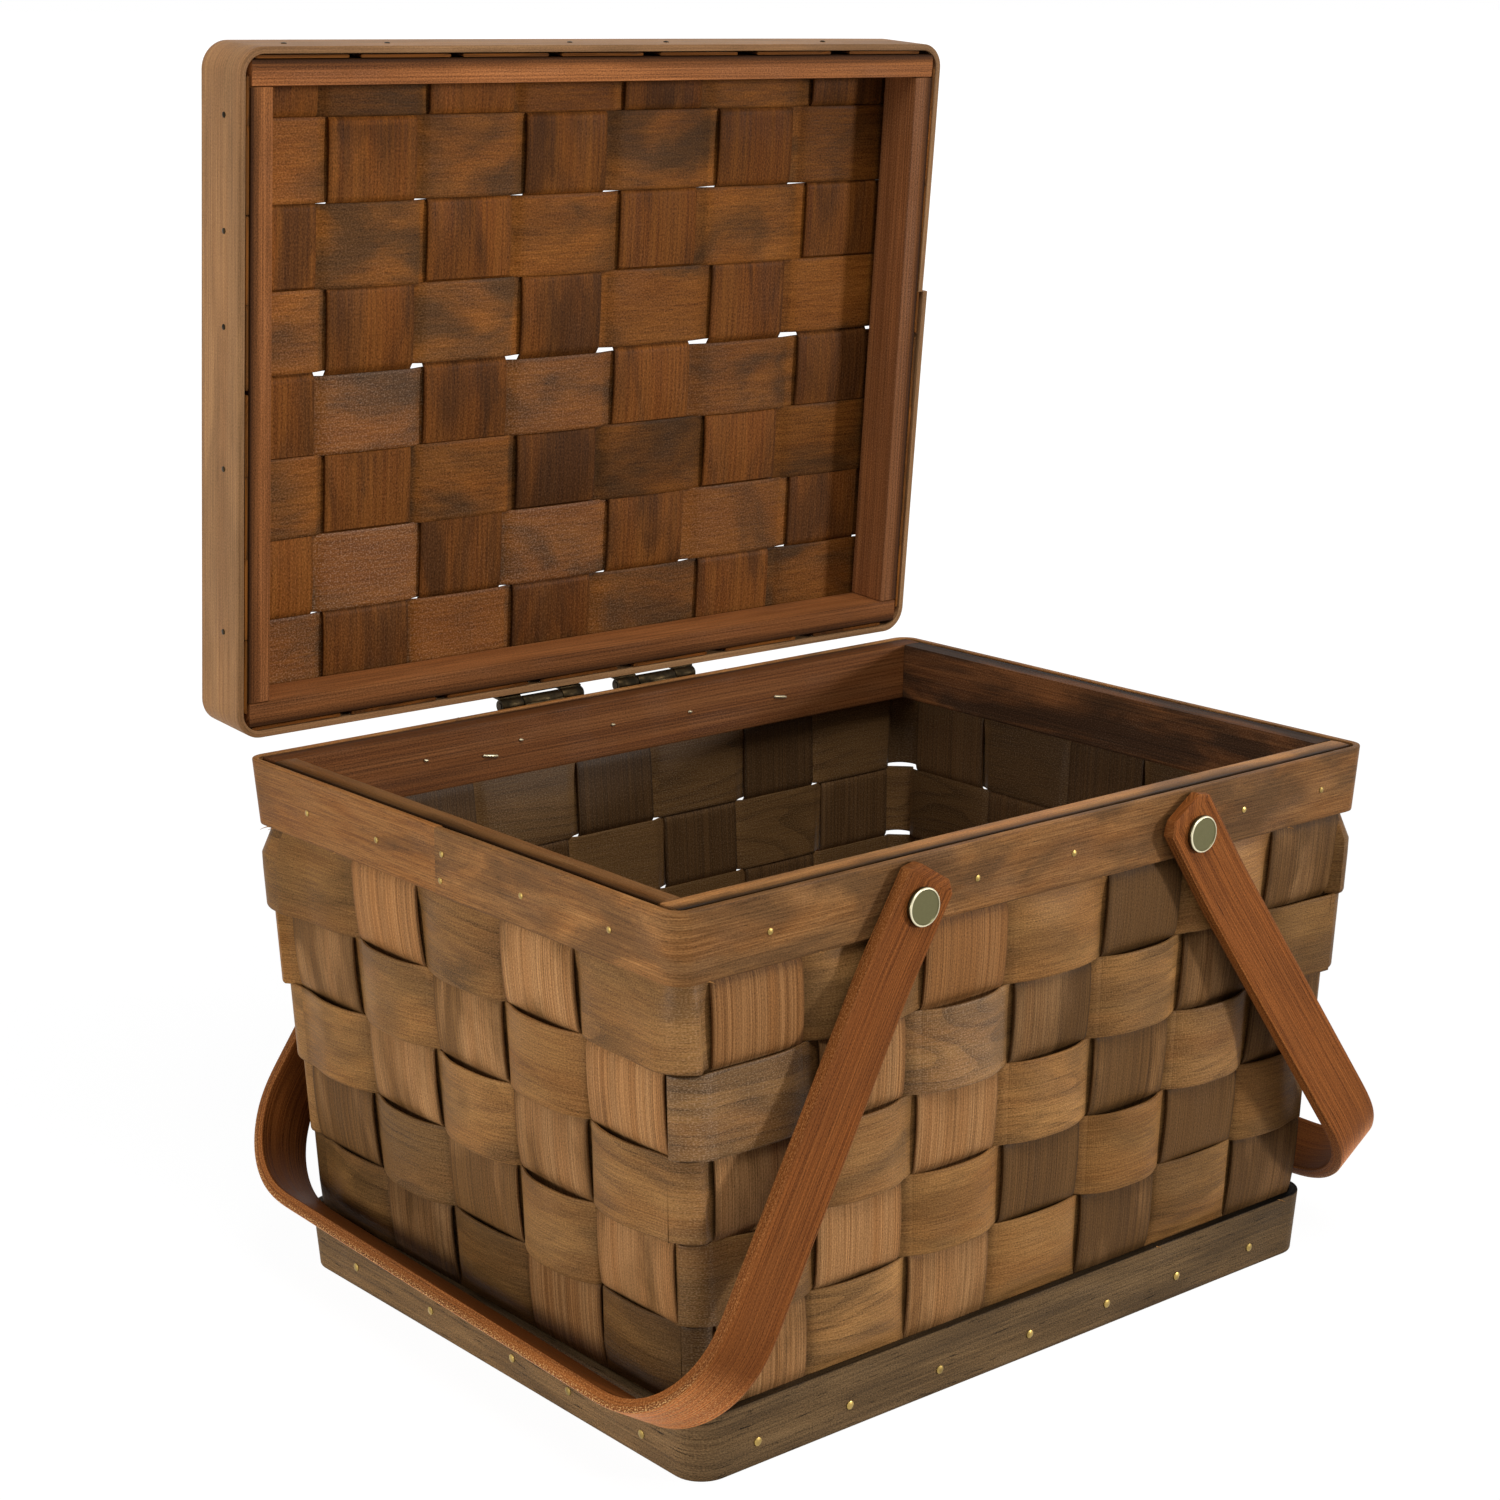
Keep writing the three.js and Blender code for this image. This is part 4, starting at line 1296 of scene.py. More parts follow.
    def corner_track(self, side: Side, row: int, from_over: bool, look: Array) -> Track:
        """Bends a ring round the corner after a side; it dives only where the next stake covers it.

        Args:
            side: Side before the corner.
            row: Number of the row.
            from_over: Whether the ring passes over the stake before the corner.
            look: Rise, tone, stain and sheen of the visible crossing next to the corner.

        Returns:
            The corner's track.
        """
        turn = np.linspace(0.0, math.pi / 2, 13)
        share = turn / (math.pi / 2)
        dive = smooth(((share if from_over else 1.0 - share) - self.dive_start) / self.dive_span)
        standing = self.lift + self.corner_lift(side, row)
        offset = standing * (1.0 - dive) - self.dive_depth * self.lift * dive
        stations = Stations(np.full(turn.size, side.value), 0 * turn + 1.0, 0 * turn, turn)
        track = Track.level(stations, offset, self.leans[2], look)
        # Painted shade in the corners, and a painted highlight at the front-left one.
        tone = track.tone + self.corner_tones[side.value] * np.sin(turn * 2.0)
        return replace(track, tone=tone, sheen=track.sheen + self.corner_sheens[side.value] * share)

    def band(
        self,
        low: float,
        high: float,
        thickness: float,
        outer_corner: float,
        lap: Lap,
        tones: Sequence[Sequence[float]] = ((0.0, 0.0),) * 4,
        top_tone: float = 0.0,
    ) -> Surface:
        """Sweeps a bent band once round the outside of the wall, with its ends stepped at the lap.

        Args:
            low: Height of its lower edge.
            high: Height of its upper edge.
            thickness: Thickness of the band.
            outer_corner: Radius of its outer face at the corners.
            lap: Where and how its ends meet.
            tones: Lightness at the start and end of each side; it blends along the side and in the corners.
            top_tone: Added lightness of its upper edge: painted light where it is above 0, painted shade
                where below.

        Returns:
            The skin.
        """
        axis = 1 - SIDE_AXIS[lap.side.value]
        corner = outer_corner - self.seat - thickness
        straight = float(self.wall.half(axis, high)) - corner
        share = lap.place * SIDE_ALONG[lap.side.value][axis] / straight
        stations = self.wall.loop_stations(lap.side, share, steps=41, corner_steps=12)
        blank = np.zeros(stations.share.size)
        across, out, edge = Strip(self.band_round, 1.2).outline(high - low + blank, thickness + blank)
        path = run_lengths(self.wall.points(stations, blank[:, None] + low, blank[:, None], corner)[:, 0])
        before, after = np.exp(-path / lap.reach), np.exp((path - path[-1]) / lap.reach)
        middle = self.seat + thickness / 2 + self.band_gap + lap.step * (before - after)[:, None]
        slanted = replace(stations, along=lap.slant * across * (before + after)[:, None])
        wave = self.band_wave * np.sin(path / self.band_wave_length)[:, None] * (across / (high - low)) ** 2
        points = self.wall.points(slanted, (low + high) / 2 + across + wave, out + middle, corner)
        run = path / path[-1]
        begun, ended = np.clip(1.0 - 2.0 * run, 0.0, 1.0), np.clip(2.0 * run - 1.0, 0.0, 1.0)
        stain = lap.stain[0] * begun + lap.stain[1] * ended
        first, last = np.array(tones).T
        passed, blend = stations.share / 2 + 0.5, stations.turn / (math.pi / 2)
        tone = first[stations.side] * (1.0 - passed) + last[stations.side] * passed
        tone = tone * (1.0 - blend) + first[(stations.side + 1) % 4] * blend
        # Painted light on the upper edge; where the added lightness is below 0 it paints shade.
        tone = tone[:, None] + top_tone * ((edge > 0.9) & (across > 0))
        return swept(points, across, tone, 0.5 * edge, self.draw, stain=stain)

    def rail(
        self, side: Side, low: float, high: float, thickness: float, ends: float, look: Sequence[float]
    ) -> Surface:
        """Sweeps a straight rail along the inner face of a wall; its hidden outer face is painted dark, the
        shade of the groove beside the band.

        Args:
            side: Side of the wall.
            low: Height of its lower face.
            high: Height of its upper face.
            thickness: Thickness of the rail.
            ends: Distance of its ends from the next walls.
            look: Tone, stain and sheen of the rail.

        Returns:
            The skin.
        """
        share = np.concatenate([[-1.0, -0.9985], np.linspace(-0.98, 0.98, 13), [0.9985, 1.0]])
        blank = 0 * share
        shrink = np.where(np.abs(share) == 1.0, 0.5, 0.0)
        across, out, edge = Strip(self.rail_round).outline(high - low - 2 * shrink, thickness - 2 * shrink)
        stations = Stations((blank + side.value).astype(int), share, -share * ends, blank)
        middle = -self.seat - thickness / 2
        points = self.wall.points(stations, (low + high) / 2 + across, out + middle, 0.0)
        tone, stain, sheen = look
        # Painted shade on the hidden outer face, seen as the groove beside the band.
        outer = out > thickness / 2 - self.groove_depth
        tones = np.where(outer, self.groove_tone, tone)
        sheens = np.where(outer, self.groove_sheen, sheen)
        return swept(points, across, tones, 0.55 * edge, self.draw, stain=stain, sheen=sheens)

    def frame_of_rails(
        self, low: float, high: float, thickness: float, looks: Sequence[Sequence[float]]
    ) -> list[Surface]:
        """Makes four rails; front and back run through and the ends butt between them.

        Args:
            low: Height of the lower faces.
            high: Height of the upper faces.
            thickness: Thickness of the rails.
            looks: Tone, stain and sheen of the left, front, right and back rail.

        Returns:
            The four skins.
        """
        through, butted = self.seat + 0.3, self.seat + thickness + 0.15
        return [
            self.rail(side, low, high, thickness, through if side.value % 2 else butted, looks[side.value])
            for side in Side
        ]

    def nail(self, side: Side, along: float, z: float, out: float, radius: float) -> Surface:
        """Sets a domed nail head on a side of the wall.

        Args:
            side: Side of the wall.
            along: Place on the X or Y axis.
            z: Height of the nail.
            out: Distance of its seat from the middle surface.
            radius: Radius of the head.

        Returns:
            The skin.
        """
        dome = np.linspace(0.0, 1.0, 4)
        radii = radius * np.concatenate([[1.0], np.cos(dome[1:] * 1.45)])
        heights = radius * np.concatenate([[-0.5], 0.12 + 0.36 * np.sin(dome[1:] * 1.45)])
        axis = SIDE_AXIS[side.value]
        distance = float(self.wall.half(axis, z)) + out
        place = np.zeros(3)
        place[axis] = SIDE_OUT[side.value][axis] * distance
        place[1 - axis] = along
        place[2] = z
        return revolved(radii, heights, 9).moved(facing([*SIDE_OUT[side.value], 0.0]), place)


@dataclass
class BasketDresser:
    """Builds and dresses every piece of the basket's body."""

    body: BasketBody
    base_front: Floats = (-114.0, -77.0, -39.0, 1.0, 37.0, 71.0, 108.0)
    base_left: Floats = (76.0, 31.0, -15.0, -45.0, -82.0)
    rim_front: Floats = (-115.0, -33.0, 8.6, 88.0, 127.0)
    rim_left: Floats = (78.0, 37.0, -41.0, -84.0)
    # Height and radius of the nail heads.
    foot_nail: Pair = (8.0, 1.6)
    rim_nail: Pair = (170.0, 1.15)
    rim_lap: Lap = Lap(Side.LEFT, place=3.5, step=0.4, slant=0.12, stain=(0.9, -1.1))
    foot_lap: Lap = Lap(Side.BACK, place=20.0, step=0.3)
    # The rim band's upper edge is lighter, painted light, and the foot band's is darker, painted shade under
    # the lowest row.
    rim_top_tone: float = 0.5
    foot_top_tone: float = -0.75
    # Lightness at the start and end of each side of the rim and the foot band: painted light and shade of
    # each side.
    rim_tones: tuple[Pair, ...] = ((-0.16, 0.24), (-0.04, -0.26), (-0.2, -0.1), (0.0, 0.0))
    foot_tones: tuple[Pair, ...] = ((0.4, 0.5), (0.12, -0.24), (-0.1, 0.0), (0.0, 0.0))
    # Tone, stain and sheen of the left, front, right and back rail; the tones are partly painted light and
    # shade, lightest on the front rail's lit top and darker on the right and back rails, and the sheens add
    # painted glints.
    rail_looks: tuple[Triple, ...] = (
        (-0.12, -0.6, 0.2), (1.15, 0.4, 0.15), (-0.32, 0.4, 0.1), (-0.3, -0.8, 0.0),
    )
    # Place and height of nails; bent points add their length, and torn fibres start with their side.
    lap_nails: tuple[Pair, ...] = ((-0.7, 173.9), (1.4, 164.8))
    bent_nails: tuple[Triple, ...] = ((-59.7, 169.8, 6.5), (73.7, 170.9, 6.2))
    frays: tuple[tuple[Side, float, float, float], ...] = (
        (Side.LEFT, 103.5, 159.7, 4.2), (Side.LEFT, 101.0, 159.7, 2.6), (Side.LEFT, 63.0, 159.7, 2.0),
        (Side.FRONT, -137.5, 159.6, 2.4), (Side.FRONT, -96.0, 159.7, 1.8), (Side.FRONT, 22.0, 159.7, 2.2),
        (Side.FRONT, 111.0, 159.7, 2.6), (Side.FRONT, 122.0, 21.8, 3.0), (Side.FRONT, 60.0, 21.8, 2.0),
        (Side.LEFT, -30.0, 182.0, 2.2), (Side.LEFT, -66.0, 182.0, 2.8), (Side.LEFT, -93.0, 182.0, 2.0),
    )
    nail_tips: tuple[Pair, ...] = (
        (-46.3, 173.4), (-5.6, 172.5), (30.1, 171.8), (-86.5, 172.5),
    )
    tip_length: float = 1.8

    def stakes(self) -> None:
        """Makes the cross stakes and the long stakes."""
        body = self.body
        material = STAKE_WOOD.material()
        for kind in Kind:
            for splint in body.stakes[kind]:
                wall = body.stake_wall(kind, splint.number)
                floor = body.stake_floor(kind, splint.number)
                skin = body.splint(
                    splint, kind.run_axis, wall, floor, wall_steps=118, floor_steps=110, bow=0.25
                )
                node = f"{kind.value}_stake_{splint.number}"
                make_piece(f"{node}.wood", [skin], material, Body.BASKET, [node])

    def weavers(self) -> None:
        """Makes the plaited rings."""
        material = WEAVER_WOOD.material()
        for row in range(1, self.body.row_count + 1):
            node = f"weaver_row_{row}"
            skin = self.body.weaver(row)
            make_piece(f"{node}.wood", [skin], material, Body.BASKET, [node])

    def rim(self) -> None:
        """Makes the rim band and its four rails."""
        body = self.body
        high = body.rim_height
        width, thickness = body.rim_band
        band = body.band(
            high - width, high, thickness, body.rim_corner, self.rim_lap, self.rim_tones, self.rim_top_tone
        )
        make_piece("rim_band.wood", [band], RIM_WOOD.material(), Body.BASKET, ["rim_band"])
        width, thickness = body.rim_rail
        rails = body.frame_of_rails(high - width, high, thickness, self.rail_looks)
        pale, aged, deep = RIM_WOOD.material(), AGED_RAIL_WOOD.material(), RAIL_WOOD.material()
        for side, skin, material in zip(Side, rails, (pale, pale, aged, deep)):
            node = f"rim_rail_{side.name.lower()}"
            make_piece(f"{node}.wood", [skin], material, Body.BASKET, [node])

    def foot(self) -> None:
        """Makes the base band."""
        body = self.body
        width, thickness = body.base_band
        band = body.band(
            0.0, width, thickness, body.base_corner, self.foot_lap, self.foot_tones, self.foot_top_tone
        )
        make_piece("base_band.wood", [band], BASE_WOOD.material(), Body.BASKET, ["base_band"])

    def nails(self) -> None:
        """Sets the brass nails of the foot and the rim; those of the far sides mirror the near ones."""
        body = self.body
        material = NAIL_BRASS.material()
        foot_out = body.seat + body.base_band[1]
        rim_out = body.seat + body.rim_band[1]
        foot_height, foot_radius = self.foot_nail
        rim_height, rim_radius = self.rim_nail
        foot, rim = [], []
        front, left = (self.base_front, self.rim_front), (self.base_left, self.rim_left)
        rows = {Side.FRONT: front, Side.BACK: front, Side.LEFT: left, Side.RIGHT: left}
        for side, (foot_places, rim_places) in rows.items():
            foot += [body.nail(side, place, foot_height, foot_out, foot_radius) for place in foot_places]
            rim += [body.nail(side, place, rim_height, rim_out, rim_radius) for place in rim_places]
        lap_out = rim_out + self.rim_lap.step
        rim += [body.nail(Side.LEFT, place, height, lap_out, rim_radius) for place, height in self.lap_nails]
        make_piece("foot_nails.brass", foot, material, Body.BASKET)
        make_piece("rim_nails.brass", rim, material, Body.BASKET)

    def fray(self, side: Side, place: float, z: float, length: float) -> Surface:
        """Curls a torn fibre off an edge of the rim or foot band.

        The fibre runs sideways and out: out grows with the square of the share of its length.

        Args:
            side: Side of the wall.
            place: Place on the X or Y axis.
            z: Height of the edge.
            length: Length of the fibre.

        Returns:
            The skin.
        """
        body = self.body
        share = np.linspace(0.0, 1.0, 8)
        across, out, edge = Strip(0.08).outline(0.5 - 0.35 * share, 0.18 + 0 * share)
        axis = SIDE_AXIS[side.value]
        seat = body.seat + (body.base_band[1] if z < body.base_band[0] else body.rim_band[1])
        level = float(body.wall.half(axis, z)) + seat - 0.1 + 0.45 * length * share ** 2
        points = np.zeros((*across.shape, 3))
        points[..., axis] = SIDE_OUT[side.value][axis] * (level[:, None] + out)
        points[..., 1 - axis] = place + (0.8 * length * share)[:, None]
        points[..., 2] = z + across - (0.3 * length * share ** 2)[:, None]
        return swept(points, across, 0.25 + 0 * share, 0 * edge, body.draw)

    def torn_fibres(self) -> None:
        """Scatters torn fibres along the edges of the bands."""
        skins = [self.fray(*place) for place in self.frays]
        make_piece("torn_fibres.wood", skins, WEAVER_WOOD.material(), Body.BASKET)

    def clinched(self, x: float, z: float, length: float) -> Surface:
        """Lays a nail's bent-over point, or only its tip, on the inner face of the back rail.

        Args:
            x: Middle of the point.
            z: Height of the point.
            length: Length that lies on the rail.

        Returns:
            The skin.
        """
        half = length / 2
        heights = [-half, -half + 0.2, -half + 0.5, half - 1.2, half - 0.2, half]
        rod = revolved([0.1, 0.5, 0.62, 0.62, 0.4, 0.1], heights, 10)
        face = float(self.body.wall.half(1, z)) - self.body.seat - self.body.rim_rail[1]
        return rod.moved(facing([1.0, 0.0, -0.16]), np.array([x, face - 0.2, z]))

    def points_of_nails(self) -> None:
        """Sets the nail points that come through the back rail."""
        skins = [self.clinched(*place) for place in self.bent_nails]
        skins += [self.clinched(*place, self.tip_length) for place in self.nail_tips]
        make_piece("rail_nails.steel", skins, NAIL_STEEL.material(), Body.BASKET)

    def dress(self) -> None:
        """Builds all pieces of the body in order."""
        self.stakes()
        self.weavers()
        self.rim()
        self.foot()
        self.nails()
        self.points_of_nails()
        self.torn_fibres()


@dataclass(frozen=True)
class PanelStrip:
    """One strip of the lid's panel: its number, the place of its middle line and its width."""

    number: int
    centre: float
    width: float


@dataclass
class Lid:
    """The lid, worked out as a tray on its woven panel, then stood open on its hinges."""

    draw: np.random.Generator
    size: Pair = (301.0, 226.5)
    depth: float = 24.0
    band_thickness: float = 2.3
    rail_thickness: float = 8.3
    corner: float = 9.0
    seat: float = 0.8
    level: float = 3.5
    bend: float = 3.0
    lift: float = 0.7
    thickness: float = 1.0
    cross_count: int = 7
    cross_gap: float = 6.5
    cross_drift: Floats = (-3.5, -5.6, -7.3, -8.3, -7.4, -4.8, -2.3)
    long_step: float = 27.8
    long_gaps: Floats = (-0.25, 0.2, -0.45, 1.4, -0.5, -0.5, 0.1)
    long_drift: Floats = (-0.6, -1.0, -1.6, -2.2, -2.2, -2.0, -1.6)
    # Sheen of each long strip and of the cross strips: gloss with painted glints, fading to the right.
    long_sheen: Floats = (0.05, 0.12, 0.1, 0.2, 0.56, 0.15, 0.8, 0.5)
    cross_sheen: float = 0.08
    sheen_fade: float = 0.8
    step_margin: float = 0.4
    swell_range: Pair = (0.15, 0.6)
    cell_spread: Pair = (0.1, 0.45)
    tone_spread: float = 0.1
    # Tone, stain and sheen of the tray's rails in the order of its sides; the tones are partly painted
    # light, lightest on the left rail and the rail at the top of the open lid.
    rail_looks: tuple[Triple, ...] = (
        (0.8, 0.0, 0.0), (0.18, -0.6, 0.0), (0.42, 1.0, 0.15), (1.25, 0.3, 0.05),
    )
    hinge_out: float = 3.25
    parting: float = 0.2
    play: float = math.radians(0.42)
    # Back face and upper edge of the rim that the lid is hinged to.
    rim: Pair = (115.0, 182.0)
    lap_height: float = 137.0
    lap_step: float = -1.3
    lap_reach: float = 60.0
    nail_radius: float = 1.1
    nail_level: float = 14.5
    nail_heights: Floats = (208.0, 171.5, 140.7, 94.0, 38.9)
    nail_places: Floats = (-129.0, -90.0, -16.0, 26.0, 99.0)

    def __post_init__(self) -> None:
        """Works out the tray's wall, its strips and a point on the hinge axis."""
        half = np.array(self.size) / 2 - self.band_thickness - self.seat
        self.wall = Wall(half, half, self.depth)
        straight = half - self.corner + self.band_thickness + self.seat
        pitch = (2 * straight[0] + self.cross_gap) / self.cross_count
        middle = (self.cross_count - 1) / 2
        cross = [
            PanelStrip(i + 1, (i - middle) * pitch + self.cross_drift[i], pitch - self.cross_gap)
            for i in range(self.cross_count)
        ]
        gaps = np.array([0.0, *self.long_gaps, 0.0])
        between = -straight[1] + self.long_step * np.arange(len(self.long_gaps), 0, -1) - 0.75
        borders = np.array([straight[1], *(between + np.array(self.long_drift)), -straight[1]])
        upper, lower = borders[:-1] - gaps[:-1] / 2, borders[1:] + gaps[1:] / 2
        long = [
            PanelStrip(i + 1, float(high + low) / 2, float(high - low))
            for i, (high, low) in enumerate(zip(upper, lower))
        ]
        self.strips = {Kind.CROSS: cross, Kind.LONG: long}
        self.hinge_axis = np.array([0.0, self.rim[0] + self.hinge_out, self.rim[1] + self.parting])
        self.parts = BasketBody(
            wall=self.wall, corner=0.0, level=self.level, bend=self.bend, top=self.depth - 0.5,
            lift=self.lift, thickness=self.thickness, draw=self.draw, edge_wear=1.0, seat=self.seat,
        )

    def tray_place(self, height: float) -> float:
        """Place on the tray's Y axis of a point that far up the open lid from its hinges."""
        return height - self.hinge_out - self.size[1] / 2

    def opened(self, skin: Surface) -> Surface:
        """Turns a skin of the tray over, skews it by the lid's slight play and swings it open.

        Args:
            skin: Skin in the tray's frame.

        Returns:
            Skin in the basket's frame.
        """
        over = np.diag([1.0, -1.0, -1.0])
        shift = np.array([0.0, -self.hinge_out - self.size[1] / 2, self.parting + self.depth])
        return self.swung(skin.moved(over, shift).moved(rotation(2, self.play), np.zeros(3)))

    def swung(self, skin: Surface) -> Surface:
        """Swings a skin drawn about the hinge axis with the lid shut to where the lid stands open."""
        return skin.moved(rotation(0, -OPEN_ANGLE), self.hinge_axis)

    def shade(self, x: Any, y: Any) -> Array:
        """Lightness of the panel: palest at the upper left, and it fades to the middle and the right.

        Args:
            x: Places on the tray's X axis.
            y: Places on the tray's Y axis.

        Returns:
            Tone at each place.
        """
        right, high = x / self.size[0] + 0.5, y / self.size[1] + 0.5
        faded = 0.3 * right ** 2 * (0.3 + 0.7 * high) + 0.17 * np.sin(math.pi * right)
        return 0.5 * high * (1.0 - right ** 2) - faded - 0.08

    def strip(self, kind: Kind, strip: PanelStrip) -> Surface:
        """Sweeps one strip of the lid down a side, across the panel and up the other side.

        Args:
            kind: Cross or long.
            strip: Strip to be made.

        Returns:
            The skin in the tray's frame.
        """
        crossing = kind is Kind.CROSS
        others = sorted(self.strips[kind.other], key=lambda other: other.centre)
        upper = np.array([(strip.number + other.number) % 2 == 0 for other in others])
        levels = np.where(upper if crossing else ~upper, -self.lift, self.lift)
        centres = np.array([other.centre for other in others])
        halves = np.array([other.width / 2 - self.step_margin for other in others])
        places = np.stack([centres - halves, centres + halves], axis=1).ravel()
        held = np.repeat(levels, 2)
        swell = self.draw.uniform(*self.swell_range, centres.size) * np.sign(levels)
        cell_look = self.draw.normal(0.0, 1.0, (centres.size, 2)) * np.array(self.cell_spread)
        sheen = self.cross_sheen if crossing else self.long_sheen[strip.number - 1]

        def floor(place: Array) -> tuple[Array, Array]:
            """Steps over and under the crossing strips, swelling over each; the gloss fades to the right."""
            near = np.clip(1.0 - ((place[:, None] - centres) / halves) ** 2, 0.0, 1.0)
            cell = np.argmin(np.abs(place[:, None] - centres), axis=1)
            glossy = sheen * (1.0 - self.sheen_fade * smooth((place - place.min()) / np.ptp(place)))
            axes = (strip.centre, place) if crossing else (place, strip.centre)
            tone = cell_look[cell, 0] + self.shade(*axes)
            offset = stepped(place, places, held) + (near * swell).sum(axis=1)
            return offset, np.column_stack([tone, cell_look[cell, 1], glossy])

        def wall(z: Array) -> tuple[Array, Array]:
            """Stays flat between band and rail."""
            return 0 * z, np.zeros((z.size, 3))

        straight = float(self.wall.half(1 - kind.run_axis, 0.0))
        tone = float(self.draw.normal(0.0, self.tone_spread))
        splint = Splint(strip.number, strip.width, strip.centre / straight, tone=tone)
        return self.parts.splint(splint, kind.run_axis, wall, floor, wall_steps=14, floor_steps=190, bow=0.0)

    def nails(self) -> None:
        """Sets the small nails of the lid's band; those of the far sides mirror the near ones."""
        out = self.seat + self.band_thickness
        ends, edges = [self.tray_place(height) for height in self.nail_heights], self.nail_places
        rows = {Side.LEFT: ends, Side.RIGHT: ends, Side.BACK: edges, Side.FRONT: edges}
        skins = [
            self.opened(self.parts.nail(side, place, self.nail_level, out, self.nail_radius))
            for side, places in rows.items() for place in places
        ]
        make_piece("lid_nails.brass", skins, AGED_BRASS.material(), Body.LID)

    def dress(self) -> None:
        """Builds the nails, the strips, the band and the rails of the lid."""
        self.nails()
        woods = {Kind.CROSS: LID_CROSS_WOOD.material(), Kind.LONG: LID_LONG_WOOD.material()}
        for kind, strips in self.strips.items():
            for strip in strips:
                node = f"lid_{kind.value}_strip_{strip.number}"
                skin = self.opened(self.strip(kind, strip))
                make_piece(f"{node}.wood", [skin], woods[kind], Body.LID, [node])
        lap = Lap(Side.RIGHT, self.tray_place(self.lap_height), self.lap_step, reach=self.lap_reach)
        band = self.opened(self.parts.band(0.0, self.depth, self.band_thickness, self.corner, lap))
        make_piece("lid_band.wood", [band], LID_BAND_WOOD.material(), Body.LID, ["lid_band"])
        low = self.level + self.bend
        rails = self.parts.frame_of_rails(low, self.depth, self.rail_thickness, self.rail_looks)
        material = RAIL_WOOD.material()
        for label, skin in zip(("left", "back", "right", "front"), rails):
            node = f"lid_rail_{label}"
            make_piece(f"{node}.wood", [self.opened(skin)], material, Body.LID, [node])


@dataclass
class Hinges:
    """Two brass butt hinges: barrels of three knuckles, leaves and screws."""

    lid: Lid
    spacing: float = 52.0
    length: float = 36.0
    leaf_height: float = 13.0
    leaf_thickness: float = 0.9
    barrel: float = 2.4
    middle_share: float = 0.48
    gap: float = 0.3
    knuckle_gap: float = 0.25
    # Profile of the screw heads, and their places as shares of a leaf's length and height.
    screw_radii: Floats = (2.1, 2.1, 1.8, 1.0, 0.15)
    screw_heights: Floats = (-0.4, 0.15, 0.5, 0.72, 0.78)
    screw_place: Pair = (0.31, 0.55)

    def knuckle(self, centre: float, length: float) -> Surface:
        """Turns a knuckle about the X axis, with eased ends.

        Args:
            centre: Middle of the knuckle on the X axis.
            length: Length of the knuckle.

        Returns:
            The skin about the hinge axis.
        """
        half = length / 2
        radii = self.barrel - np.array([0.9, 0.25, 0.0, 0.0, 0.25, 0.9])
        heights = [-half, -half, -half + 0.3, half - 0.3, half, half]
        return revolved(radii, heights, 24).moved(facing([1.0, 0.0, 0.0]), np.array([centre, 0.0, 0.0]))

    def plate(self, centre: float, length: float, low: float, high: float) -> Surface:
        """Sweeps a flat leaf along the X axis.

        Args:
            centre: Middle of the leaf on the X axis.
            length: Length of the leaf.
            low: Lower edge from the hinge axis.
            high: Upper edge from the hinge axis.

        Returns:
            The skin about the hinge axis.
        """
        x = centre + np.array([-0.5, -0.497, 0.497, 0.5]) * length
        shrink = np.array([0.3, 0.0, 0.0, 0.3])
        across, out, edge = Strip(0.25).outline(high - low - shrink, self.leaf_thickness - shrink)
        face = -self.lid.hinge_out + self.gap + self.leaf_thickness / 2
        points = np.stack([x[:, None] + 0 * across, face + out, (low + high) / 2 + across], axis=-1)
        return swept(points, across, 0 * x, 0.5 * edge, np.random.default_rng(5))

    def leaf(self, direction: int, x: float) -> list[Surface]:
        """Makes a leaf with its knuckles and two screws.

        Args:
            direction: 1 for the lid's leaf and -1 for the basket's.
            x: Middle of the hinge.

        Returns:
            The skins about the hinge axis.
        """
        middle = self.length * self.middle_share - self.knuckle_gap
        outer = (self.length - middle) / 2 - self.knuckle_gap
        places = [(0.0, middle)]
        if direction > 0:
            places = [(side * (self.length - outer) / 2, outer) for side in (-1, 1)]
        clear = self.barrel + self.gap
        low, high = sorted((direction * clear, direction * (clear + self.leaf_height)))
        skins = [self.plate(x, self.length, low, high)]
        for centre, length in places:
            skins.append(self.knuckle(x + centre, length))
            near, far = sorted((0.0, direction * (clear + 0.6)))
            skins.append(self.plate(x + centre, length, near, far))
        face = -self.lid.hinge_out + self.gap + self.leaf_thickness
        beside, upward = self.screw_place
        for side in (-1, 1):
            head = revolved(self.screw_radii, self.screw_heights, 16)
            up = clear + self.leaf_height * upward
            place = np.array([x + side * self.length * beside, face, direction * up])
            skins.append(head.moved(facing([0.0, 1.0, 0.0]), place))
        return skins

    def dress(self) -> None:
        """Builds the leaves of both hinges and gives the pins their brass."""
        material = AGED_BRASS.material()
        for label, side in (("left", -1), ("right", 1)):
            x = side * self.spacing / 2
            fixed = [skin.moved(np.eye(3), self.lid.hinge_axis) for skin in self.leaf(-1, x)]
            swung = [self.lid.swung(skin) for skin in self.leaf(1, x)]
            node = f"hinge_leaf_{label}"
            make_piece(f"{node}.brass", fixed, material, Body.BASKET, [node])
            make_piece(f"lid_{node}.brass", swung, material, Body.LID, [f"lid_{node}"])
            pin = frame["nodes"][f"hinge_pin_{label}"]
            pin.data.materials.clear()
            pin.data.materials.append(material)


